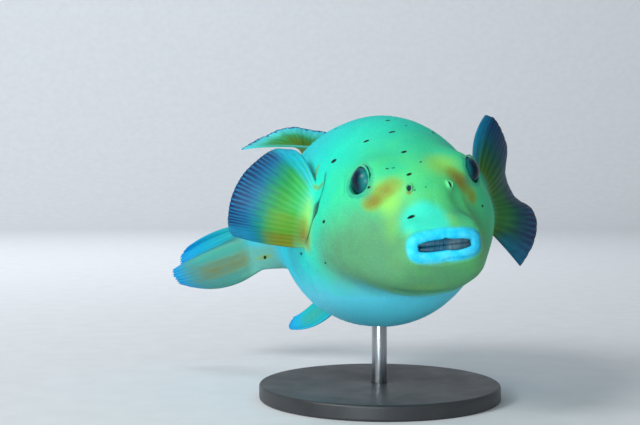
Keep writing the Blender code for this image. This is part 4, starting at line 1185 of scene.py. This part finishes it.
for number, fin in enumerate(fins, start=1):
    # Fin skin: thin and wet-looking, a little glossier along the rays than on the web between them.
    shades = FIN_FINISHES[fin["name"]]
    made, tree = new_material(fin["name"] + "_fin_skin")
    body, _ = body_colours(tree)
    marks = node(tree, "ShaderNodeAttribute", {}, out="Vector", attribute_name="marks")
    across, out, flesh = node(tree, "ShaderNodeSeparateXYZ", {0: marks}, out=None).outputs[:3]
    stretch = (fin["count"] * CLOUDS_PER_RAY, CLOUDS_OUTWARDS, 0.0)
    stretched = node(tree, "ShaderNodeVectorMath", {0: marks, 1: stretch}, operation="MULTIPLY")
    cloud = node(tree, "ShaderNodeTexNoise", {
        "Vector": stretched, "W": float(number), "Scale": 1.6, "Detail": 4.0}, noise_dimensions="4D")
    far = node(tree, "ShaderNodeMath", {0: cloud, 1: 0.22, 2: -0.11}, operation="MULTIPLY_ADD")
    far = node(tree, "ShaderNodeMath", {0: out, 1: far}, operation="ADD")
    sway = node(tree, "ShaderNodeMath", {0: cloud, 1: 0.35, 2: -0.17}, operation="MULTIPLY_ADD")
    phase = node(tree, "ShaderNodeMath", {0: across, 1: float(fin["count"]), 2: sway},
                 operation="MULTIPLY_ADD")
    lines = []
    for forks in (1.0, 2.0):
        wave = node(tree, "ShaderNodeMath", {0: phase, 1: forks}, operation="MULTIPLY")
        wave = node(tree, "ShaderNodeMath", {0: wave, 1: 0.5}, operation="PINGPONG")
        lines.append(node(tree, "ShaderNodeMapRange", {0: wave, 1: 0.16, 2: 0.42},
                          interpolation_type="SMOOTHSTEP"))
    forked = node(tree, "ShaderNodeMapRange", {0: out, 1: 0.45, 2: 0.75})
    ray = node(tree, "ShaderNodeMix", {0: forked, 2: lines[0], 3: lines[1]})
    ray = node(tree, "ShaderNodeMath", {0: ray, 1: RAY_STRENGTH}, operation="MULTIPLY")
    web = node(tree, "ShaderNodeValToRGB", {0: far}, stops=shades["membrane"])
    sticks = node(tree, "ShaderNodeValToRGB", {0: far}, stops=shades["rays"])
    shade = node(tree, "ShaderNodeMix", {0: ray, 6: web, 7: sticks}, out=2, data_type="RGBA")
    patchy = node(tree, "ShaderNodeMapRange", {0: cloud, 1: 0.30, 2: 0.62, 3: 0.55, 4: 1.0})
    for left, right, inner, outer, strength, tint in shades["washes"]:
        share = node(tree, "ShaderNodeMath", {0: patchy, 1: strength}, operation="MULTIPLY")
        for value, low, high, soft in ((across, left, right, WASH_EDGE), (far, inner, outer, 3 * WASH_EDGE)):
            rise = node(tree, "ShaderNodeMapRange", {0: value, 1: low - soft, 2: low + soft})
            fall = node(tree, "ShaderNodeMapRange", {
                0: value, 1: high - soft, 2: high + soft, 3: 1.0, 4: 0.0})
            share = node(tree, "ShaderNodeMath", {0: share, 1: rise}, operation="MULTIPLY")
            share = node(tree, "ShaderNodeMath", {0: share, 1: fall}, operation="MULTIPLY")
        shade = node(tree, "ShaderNodeMix", {0: share, 6: shade, 7: tint}, out=2, data_type="RGBA")
    shade = node(tree, "ShaderNodeMix", {0: flesh, 6: body, 7: shade}, out=2, data_type="RGBA")
    film = node(tree, "ShaderNodeMath", {0: cloud, 1: 0.8, 2: ray}, operation="MULTIPLY_ADD")
    satin_skin(tree, shade, film, 0.45)
    skin.data.materials.append(made)

face_count = len(skin.data.polygons)
loop_starts = np.zeros(face_count, dtype=np.int64)
skin.data.polygons.foreach_get("loop_start", loop_starts)
loop_points = np.zeros(len(skin.data.loops), dtype=np.int64)
skin.data.loops.foreach_get("vertex_index", loop_points)
owner = np.maximum.reduceat(np.where(fin_marks[loop_points, 2] > 0, fin_number[loop_points], 0), loop_starts)
skin.data.polygons.foreach_set("material_index", owner.astype(np.int32))
skin.data.shade_smooth()
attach(skin, "root")
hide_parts("head", "lips", "trunk", "tail_stalk", "pectoral_fin_left", "pectoral_fin_right",
            "dorsal_fin", "anal_fin", "tail_fin", "nostril_left", "nostril_right")

# ---- spinules
# Small spines all over the body but not on the lips, the fins or the end of the tail, rooted in the skin
# and leaning back. They lie flat until the fish puffs up, so only their tips stand out, as a fine grain.
SPINULE_GAP, SPINULE_RADIUS, SPINULE_LENGTH = 0.0028, 0.00028, 0.0008
SPINULE_SIDES = 4
SPINULE_LEAN = 1.6                         # backwards, for each part outwards
SPINULE_SEED = 7
MOST_SPINULES = 400000.0                   # on a square metre, before they are thinned to the gap
BAKE_PATCH = 0.003                         # each spinule's share of its map, across


def spinule_tree():
    """Geometry Nodes: cones spread over a mesh, thinned out and made small where its spines mark is low."""
    tree = bpy.data.node_groups.new("spinules", "GeometryNodeTree")
    sockets = tree.interface
    sockets.new_socket("Geometry", in_out="INPUT", socket_type="NodeSocketGeometry")
    for name in ("Gap", "Radius", "Length", "Lean"):
        sockets.new_socket(name, in_out="INPUT", socket_type="NodeSocketFloat")
    sockets.new_socket("Seed", in_out="INPUT", socket_type="NodeSocketInt")
    sockets.new_socket("Material", in_out="INPUT", socket_type="NodeSocketMaterial")
    sockets.new_socket("Geometry", in_out="OUTPUT", socket_type="NodeSocketGeometry")
    given = node(tree, "NodeGroupInput", {}, out=None).outputs
    marks = {}
    for name, kind in (("spines", "FLOAT"), ("lie", "FLOAT_VECTOR"), ("unwrap", "FLOAT_VECTOR")):
        marks[name] = node(tree, "GeometryNodeInputNamedAttribute", {"Name": name}, data_type=kind)
    spread = node(tree, "GeometryNodeDistributePointsOnFaces", {
        "Mesh": given["Geometry"], "Distance Min": given["Gap"], "Density Max": MOST_SPINULES,
        "Density Factor": marks["spines"], "Seed": given["Seed"],
    }, out=None, distribute_method="POISSON").outputs
    cone = node(tree, "GeometryNodeMeshCone", {
        "Vertices": SPINULE_SIDES, "Radius Top": 0.0, "Radius Bottom": given["Radius"],
        "Depth": given["Length"]})
    position = node(tree, "GeometryNodeInputPosition", {})
    flat = node(tree, "ShaderNodeVectorMath", {0: position, 1: (1.0, 1.0, 0.0)}, operation="MULTIPLY")
    scale = node(tree, "ShaderNodeMath", {0: BAKE_PATCH / 2, 1: given["Radius"]}, operation="DIVIDE")
    patch = node(tree, "ShaderNodeVectorMath", {0: flat, "Scale": scale}, operation="SCALE")
    cone = node(tree, "GeometryNodeStoreNamedAttribute", {"Geometry": cone, "Name": "patch", "Value": patch},
                data_type="FLOAT_VECTOR", domain="POINT")
    back = node(tree, "ShaderNodeVectorMath", {0: marks["lie"], "Scale": given["Lean"]}, operation="SCALE")
    way = node(tree, "ShaderNodeVectorMath", {0: spread["Normal"], 1: back}, operation="ADD")
    turn = node(tree, "FunctionNodeAlignRotationToVector", {"Vector": way}, axis="Z")
    size = node(tree, "FunctionNodeRandomValue", {2: 0.65, 3: 1.15, "Seed": given["Seed"]}, out=1,
                data_type="FLOAT")
    small = node(tree, "ShaderNodeMath", {0: marks["spines"], 1: 0.6, 2: 0.4}, operation="MULTIPLY_ADD")
    size = node(tree, "ShaderNodeMath", {0: size, 1: small}, operation="MULTIPLY")
    coat = node(tree, "GeometryNodeInstanceOnPoints", {
        "Points": spread["Points"], "Instance": cone, "Rotation": turn, "Scale": size})
    coat = node(tree, "GeometryNodeRealizeInstances", {"Geometry": coat})
    patch = node(tree, "GeometryNodeInputNamedAttribute", {"Name": "patch"}, data_type="FLOAT_VECTOR")
    bake = node(tree, "ShaderNodeVectorMath", {0: marks["unwrap"], 1: patch}, operation="ADD")
    coat = node(tree, "GeometryNodeStoreNamedAttribute", {"Geometry": coat, "Name": "OFBake", "Value": bake},
                data_type="FLOAT2", domain="CORNER")
    coat = node(tree, "GeometryNodeSetShadeSmooth", {"Geometry": coat, "Shade Smooth": False})
    coat = node(tree, "GeometryNodeSetMaterial", {"Geometry": coat, "Material": given["Material"]})
    node(tree, "NodeGroupOutput", {"Geometry": coat}, out=None)
    return tree


host = bpy.data.objects.new("spinule_host", skin.data.copy())
bpy.context.scene.collection.objects.link(host)
spread = host.modifiers.new("spinules", "NODES")
spread.node_group = spinule_tree()
settings = {"Gap": SPINULE_GAP, "Radius": SPINULE_RADIUS, "Length": SPINULE_LENGTH, "Lean": SPINULE_LEAN,
            "Seed": SPINULE_SEED, "Material": hide}
for item in spread.node_group.interface.items_tree:
    if item.name in settings:
        spread[item.identifier] = settings[item.name]
graph = bpy.context.evaluated_depsgraph_get()
coat_data = bpy.data.meshes.new_from_object(host.evaluated_get(graph))
host.modifiers.clear()
bpy.data.objects.remove(host)
coat_data.name = "spinules"
spinules = bpy.data.objects.new("spinules", coat_data)
bpy.context.scene.collection.objects.link(spinules)
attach(spinules, "root")

# ---- eyes
# A puffer's eyes are large, firm balls that turn on their own, with a wide pupil and a narrow iris behind
# a clear, faintly green cornea. These are cast in resin, polished, and set in the sockets from behind.
PUPIL, IRIS_EDGE = 0.0062, 0.0082          # radii as seen along the eye's axis
EYE_ROWS, EYE_COLUMNS = 56, 96
FIBRES = 0.0012                            # how far the iris's fibres reach unevenly


def eye(side, label):
    """An eyeball, with the place of each of its points along the eye's own directions."""
    centre, *axes = eye_frame(side)
    around = np.arange(EYE_COLUMNS) * 2 * np.pi / EYE_COLUMNS
    rings = []
    for a in np.linspace(0.0, math.pi, EYE_ROWS + 1)[1:-1]:
        ring = [np.cos(around) * math.sin(a), np.sin(around) * math.sin(a), np.full_like(around, math.cos(a))]
        rings.append(EYE_RADIUS * np.stack(ring, axis=-1))
    made = loft("eyeball_" + label, [placed(centre + ring @ np.array(axes)) for ring in rings])
    poles = [(0, 0, EYE_RADIUS), (0, 0, -EYE_RADIUS)]
    set_marks(made.data, "flat", np.concatenate([*rings, poles]) * (side, 1, 1))
    return made


# Polished resin: a soft bright patch over depths of blue-black and green.
eye_resin, tree = new_material("polished_resin_eye")
flat = node(tree, "ShaderNodeAttribute", {}, out="Vector", attribute_name="flat")
level = node(tree, "ShaderNodeVectorMath", {0: flat, 1: (1.0, 1.0, 0.0)}, operation="MULTIPLY")
radius = node(tree, "ShaderNodeVectorMath", {0: level}, out=1, operation="LENGTH")
radial = node(tree, "ShaderNodeVectorMath", {0: level}, operation="NORMALIZE")
fibres = node(tree, "ShaderNodeTexNoise", {"Vector": radial, "Scale": 9.0, "Detail": 4.0})
reach = node(tree, "ShaderNodeMath", {0: fibres, 1: FIBRES, 2: radius}, operation="MULTIPLY_ADD")
ring = node(tree, "ShaderNodeMapRange", {0: reach, 1: PUPIL * 0.6, 2: IRIS_EDGE + 0.0006})
shade = node(tree, "ShaderNodeValToRGB", {0: ring}, stops=[
    (0.0, "021A2C"), (0.42, "032438"), (0.60, "06434E"), (0.80, "0C5A60"), (0.93, "062A34"), (1.0, "031C24")])
split = node(tree, "ShaderNodeSeparateXYZ", {0: flat}, out=None)
forward = node(tree, "ShaderNodeMapRange", {0: split.outputs[0], 1: -0.0022, 2: -0.0072, 4: 0.75},
               interpolation_type="SMOOTHSTEP")
shade = node(tree, "ShaderNodeMix", {0: forward, 6: shade, 7: "128078"}, out=2, data_type="RGBA")
gloss = node(tree, "ShaderNodeMapRange", {0: fibres, 1: 0.3, 2: 0.7, 3: 0.24, 4: 0.32})
finished(tree, {"Base Color": shade, "Roughness": gloss, "IOR": 1.376, "Specular IOR Level": 0.25})
for side, label in ((1, "left"), (-1, "right")):
    eyeball = eye(side, label)
    eyeball.data.materials.append(eye_resin)
    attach(eyeball, "root")
    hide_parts("eye_" + label)

# ---- beak
# Four hard plates of fused teeth, two above and two below, parted by a seam in the middle. The enamel is
# laid down in layers, so it is finely streaked up and down, stained, and chipped along its biting edge.
TOOTH_WIDTH, TOOTH_HEIGHT, TOOTH_THICKNESS = 0.0162, 0.0038, 0.0030
TOOTH_COLUMNS, TOOTH_ROWS = 64, 14
TOOTH_SEAM, TOOTH_GAP, TOOTH_CHIP = 0.00015, 0.00003, 0.00018
TOOTH_BULGE, TOOTH_SWEEP = 0.00055, 0.0030                      # forwards halfway up, back at the sides
TOOTH_SET, TOOTH_TAPER = 0.0012, 0.0012    # how far it stands behind the lips' line, and lowers sideways
TOOTH_CHIPS, TOOTH_STREAK, STREAK_SIZE = 22, 0.00003, 0.0012
LAYER_SCALES = (1000.0, 300.0, 110.0)      # enamel layers about a millimetre apart, long up and down


def beak_plate(side, top, label):
    """A curved plate from the middle seam out to one side, its biting edge chipped and its face streaked."""
    random = np.random.default_rng(50 + side + 3 * top)
    width = np.linspace(TOOTH_SEAM, TOOTH_WIDTH, TOOTH_COLUMNS)
    share = width / TOOTH_WIDTH
    chips = np.interp(share, np.linspace(0, 1, TOOTH_CHIPS), random.uniform(0, 1, TOOTH_CHIPS) ** 3)
    along = np.stack([width * side * 3, 0 * width, 0 * width + top], axis=-1)
    streaks = TOOTH_STREAK * waves(along, STREAK_SIZE, 12)
    lift = np.linspace(0, 1, TOOTH_ROWS)
    bulge = -TOOTH_BULGE * np.sin(np.pi * np.clip(lift * 0.9 + 0.1, 0, 1)) + 0.00025 * (1 - lift) ** 6
    rings = []
    for k, x in enumerate(width):
        front = LIP_DEPTH + TOOTH_SET + TOOTH_SWEEP * share[k] ** 2 + streaks[k]
        tall = TOOTH_HEIGHT - TOOTH_TAPER * share[k] ** 3
        inner = TOOTH_GAP + TOOTH_CHIP * chips[k]
        rear = front + TOOTH_THICKNESS
        outline = list(zip(front + bulge, inner + (tall - inner) * lift))
        outline += [(rear, tall), (rear, (tall + inner) / 2), (rear, inner)]
        rings.append(np.array([(side * x, y, top * z) for y, z in outline]))
    return loft(label, [placed(ring) for ring in rings])


# Stained enamel: hard and half glossy, its colours kept dark as painted shade from the mouth round it,
# darker and bluer on the fish's right, with stains in clouds.
enamel, tree = new_material("shade_darkened_stained_enamel")
place = node(tree, "ShaderNodeTexCoord", {}, out="Object")
streaky = node(tree, "ShaderNodeMapping", {0: place, 3: LAYER_SCALES})
layers = node(tree, "ShaderNodeTexNoise", {"Vector": streaky, "Scale": 1.0, "Detail": 4.0, "Roughness": 0.6})
stains = node(tree, "ShaderNodeTexNoise", {"Vector": place, "Scale": 220.0, "Detail": 3.0})
split = node(tree, "ShaderNodeSeparateXYZ", {0: place}, out=None)
leftward = node(tree, "ShaderNodeMapRange", {0: split.outputs[0], 1: 0.0050, 2: 0.0080})
cool = node(tree, "ShaderNodeValToRGB", {0: layers}, stops=[
    (0.30, "0A4058"), (0.52, "185C74"), (0.74, "34809A")])
warm = node(tree, "ShaderNodeValToRGB", {0: layers}, stops=[
    (0.30, "40606C"), (0.52, "5C7680"), (0.74, "7C969C")])
shade = node(tree, "ShaderNodeMix", {0: leftward, 6: cool, 7: warm}, out=2, data_type="RGBA")
stained = node(tree, "ShaderNodeMapRange", {0: stains, 1: 0.50, 2: 0.70, 4: 0.5})
shade = node(tree, "ShaderNodeMix", {0: stained, 6: shade, 7: "0C3C50"}, out=2, data_type="RGBA")
gloss = node(tree, "ShaderNodeMapRange", {0: layers, 1: 0.3, 2: 0.7, 3: 0.30, 4: 0.46})
raised = node(tree, "ShaderNodeBump", {"Strength": 0.4, "Distance": 0.0002, "Height": layers})
finished(tree, {"Base Color": shade, "Roughness": gloss, "Normal": raised, "IOR": 1.62})
for side, side_label in ((1, "left"), (-1, "right")):
    for top, top_label in ((1, "upper"), (-1, "lower")):
        plate = beak_plate(side, top, f"beak_{top_label}_{side_label}")
        plate.data.materials.append(enamel)
        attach(plate, "root")
        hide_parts(f"tooth_{top_label}_{side_label}")

# ---- stand
# A turned steel disc, powder coated dark grey with the faint orange peel of that finish, and a drawn
# stainless rod cemented into the hole in its middle, whose top end sits in a hole in the belly. Both are
# turned from an outline, finely enough for their edges to be round.
BASE_RADIUS, BASE_THICKNESS, BASE_EDGE = 0.0800, 0.0100, 0.0016
ROD_RADIUS, ROD_FOOT, ROD_TOP, HOLE_RADIUS = 0.0050, 0.0030, 0.0570, 0.0053
ORANGE_PEEL, DUST = 0.0011, 0.017          # sizes of the coat's ripples and of the faint clouds on it
DRAW_SCALES = (4000.0, 4000.0, 60.0)       # drawing lines a quarter of a millimetre apart, along the rod

# Powder coat: dark, even and low in gloss, its ripples breaking up what it reflects.
powder_coat, tree = new_material("powder_coated_steel")
place = node(tree, "ShaderNodeTexCoord", {}, out="Object")
peel = node(tree, "ShaderNodeTexNoise", {"Vector": place, "Scale": 1 / ORANGE_PEEL, "Detail": 2.0})
dust = node(tree, "ShaderNodeTexNoise", {"Vector": place, "Scale": 1 / DUST, "Detail": 4.0})
shade = node(tree, "ShaderNodeValToRGB", {0: dust}, stops=[(0.35, "2A2B2D"), (0.70, "343537")])
gloss = node(tree, "ShaderNodeMapRange", {0: dust, 1: 0.3, 2: 0.7, 3: 0.38, 4: 0.50})
raised = node(tree, "ShaderNodeBump", {"Strength": 0.25, "Distance": 0.0002, "Height": peel})
finished(tree, {"Base Color": shade, "Roughness": gloss, "Normal": raised})

# Drawn stainless steel: bright, with its highlights drawn out by fine lines along the rod.
drawn_steel, tree = new_material("drawn_stainless_steel")
place = node(tree, "ShaderNodeTexCoord", {}, out="Object")
drawn = node(tree, "ShaderNodeMapping", {0: place, 3: DRAW_SCALES})
drawing = node(tree, "ShaderNodeTexNoise", {"Vector": drawn, "Scale": 1.0, "Detail": 3.0})
shade = node(tree, "ShaderNodeValToRGB", {0: drawing}, stops=[(0.3, "8E9296"), (0.7, "B8BCC0")])
gloss = node(tree, "ShaderNodeMapRange", {0: drawing, 1: 0.3, 2: 0.7, 3: 0.22, 4: 0.36})
raised = node(tree, "ShaderNodeBump", {"Strength": 0.2, "Distance": 0.0001, "Height": drawing})
finished(tree, {"Base Color": shade, "Roughness": gloss, "Normal": raised, "Metallic": 1.0})


def turned(name, outline, sides, finish, part):
    """A lathe-turned piece: an outline of radius and height, from the axis below to the axis above."""
    around = np.arange(sides) * 2 * np.pi / sides
    made = loft(name, [np.stack([r * np.cos(around), r * np.sin(around), h + 0 * around], axis=-1)
                       for r, h in outline])
    made.data.materials.append(finish)
    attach(made, "root")
    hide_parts(part)


BASE_SIDES, ROD_SIDES = 192, 64
EDGE_STEPS = np.linspace(0, math.pi / 2, 8)
rim = BASE_RADIUS - BASE_EDGE
base_outline = [(0.0020, 0), (rim - 0.0004, 0)]
base_outline += [(rim + BASE_EDGE * math.sin(a), BASE_EDGE * (1 - math.cos(a))) for a in EDGE_STEPS]
base_outline += [(BASE_RADIUS, BASE_EDGE + 0.0004), (BASE_RADIUS, BASE_THICKNESS - BASE_EDGE - 0.0004)]
base_outline += [(rim + BASE_EDGE * math.cos(a), BASE_THICKNESS - BASE_EDGE * (1 - math.sin(a)))
                 for a in EDGE_STEPS]
base_outline += [(rim - 0.0004, BASE_THICKNESS), (HOLE_RADIUS + 0.0010, BASE_THICKNESS),
                 (HOLE_RADIUS + 0.0005, BASE_THICKNESS - 0.0001), (HOLE_RADIUS, BASE_THICKNESS - 0.0006),
                 (HOLE_RADIUS, ROD_FOOT), (HOLE_RADIUS - 0.0010, ROD_FOOT - 0.0002)]
turned("turned_base", base_outline, BASE_SIDES, powder_coat, "stand_base")
rod_outline = [(ROD_RADIUS - 0.0006, ROD_FOOT), (ROD_RADIUS - 0.0001, ROD_FOOT + 0.0001),
               (ROD_RADIUS, ROD_FOOT + 0.0006), (ROD_RADIUS, ROD_TOP - 0.0006),
               (ROD_RADIUS - 0.0001, ROD_TOP - 0.0001), (ROD_RADIUS - 0.0006, ROD_TOP)]
turned("drawn_rod", rod_outline, ROD_SIDES, drawn_steel, "stand_rod")

# ---- floor and light
# A plain pale studio: a wide paper floor that sweeps up all round, one large soft light well to the fish's
# right, a weak one low in front that lifts the belly, one on the backdrop, and pale light from everywhere.
FLOOR_RADIUS, SWEEP_RADIUS, SWEEP_HEIGHT = 3.2, 1.2, 1.6
PAPER_FIBRE = 0.025
FLOOR_SIDES = 96
profile = [(0.02, 0), (0.5, 0), (FLOOR_RADIUS, 0)]
profile += [(FLOOR_RADIUS + SWEEP_RADIUS * math.sin(a), SWEEP_RADIUS * (1 - math.cos(a)))
            for a in np.linspace(0.12, math.pi / 2, 12)]
profile.append((FLOOR_RADIUS + SWEEP_RADIUS, SWEEP_HEIGHT))
around = np.arange(FLOOR_SIDES) * 2 * np.pi / FLOOR_SIDES
floor_mesh = bmesh.new()
floor_rows = [[floor_mesh.verts.new((r * math.cos(a), r * math.sin(a), h)) for a in around]
              for r, h in profile]
floor_mesh.faces.new(floor_rows[0])
for lower, upper in zip(floor_rows, floor_rows[1:]):
    for i in range(len(around)):
        j = (i + 1) % len(around)
        floor_mesh.faces.new([lower[i], upper[i], upper[j], lower[j]])
bmesh.ops.recalc_face_normals(floor_mesh, faces=floor_mesh.faces)
floor_data = bpy.data.meshes.new("floor")
floor_mesh.to_mesh(floor_data)
floor_mesh.free()
floor_data.shade_smooth()
floor = bpy.data.objects.new("floor", floor_data)
bpy.context.scene.collection.objects.link(floor)

# Studio paper: matt and pale, with a faint fibre.
paper, tree = new_material("pale_studio_paper")
place = node(tree, "ShaderNodeTexCoord", {}, out="Object")
fibre = node(tree, "ShaderNodeTexNoise", {"Vector": place, "Scale": 1 / PAPER_FIBRE, "Detail": 4.0})
shade = node(tree, "ShaderNodeValToRGB", {0: fibre}, stops=[(0.3, "DEE0E2"), (0.7, "E3E5E7")])
finished(tree, {"Base Color": shade, "Roughness": 0.9})
floor_data.materials.append(paper)


def soft_light(name, place, aim, size, power, tint):
    data = bpy.data.lights.new(name, "AREA")
    data.shape, data.size, data.energy = "DISK", size, power
    data.color = colour(tint)[:3]
    made = bpy.data.objects.new(name, data)
    way = Vector(aim) - Vector(place)
    made.matrix_world = Matrix.Translation(place) @ way.to_track_quat("-Z", "Y").to_matrix().to_4x4()
    made.visible_camera = False
    bpy.context.scene.collection.objects.link(made)


soft_light("key_light", (-1.7, -0.95, 1.4), (0, 0, 0.12), 0.9, 35, "FFFFFF")
soft_light("low_light", (-0.5, -0.92, 0.08), (0, 0, 0.08), 0.4, 6.8, "E8F6FF")
soft_light("backdrop_light", (-0.6, 1.0, 2.4), (-0.6, 4.4, 0.4), 1.6, 70, "F4F8FF")
world = bpy.data.worlds.new("studio")
world.use_nodes = True
world.node_tree.nodes["Background"].inputs["Color"].default_value = colour("E0EAF0")
world.node_tree.nodes["Background"].inputs["Strength"].default_value = 0.36
bpy.context.scene.world = world
bpy.context.scene.view_settings.view_transform = "Standard"
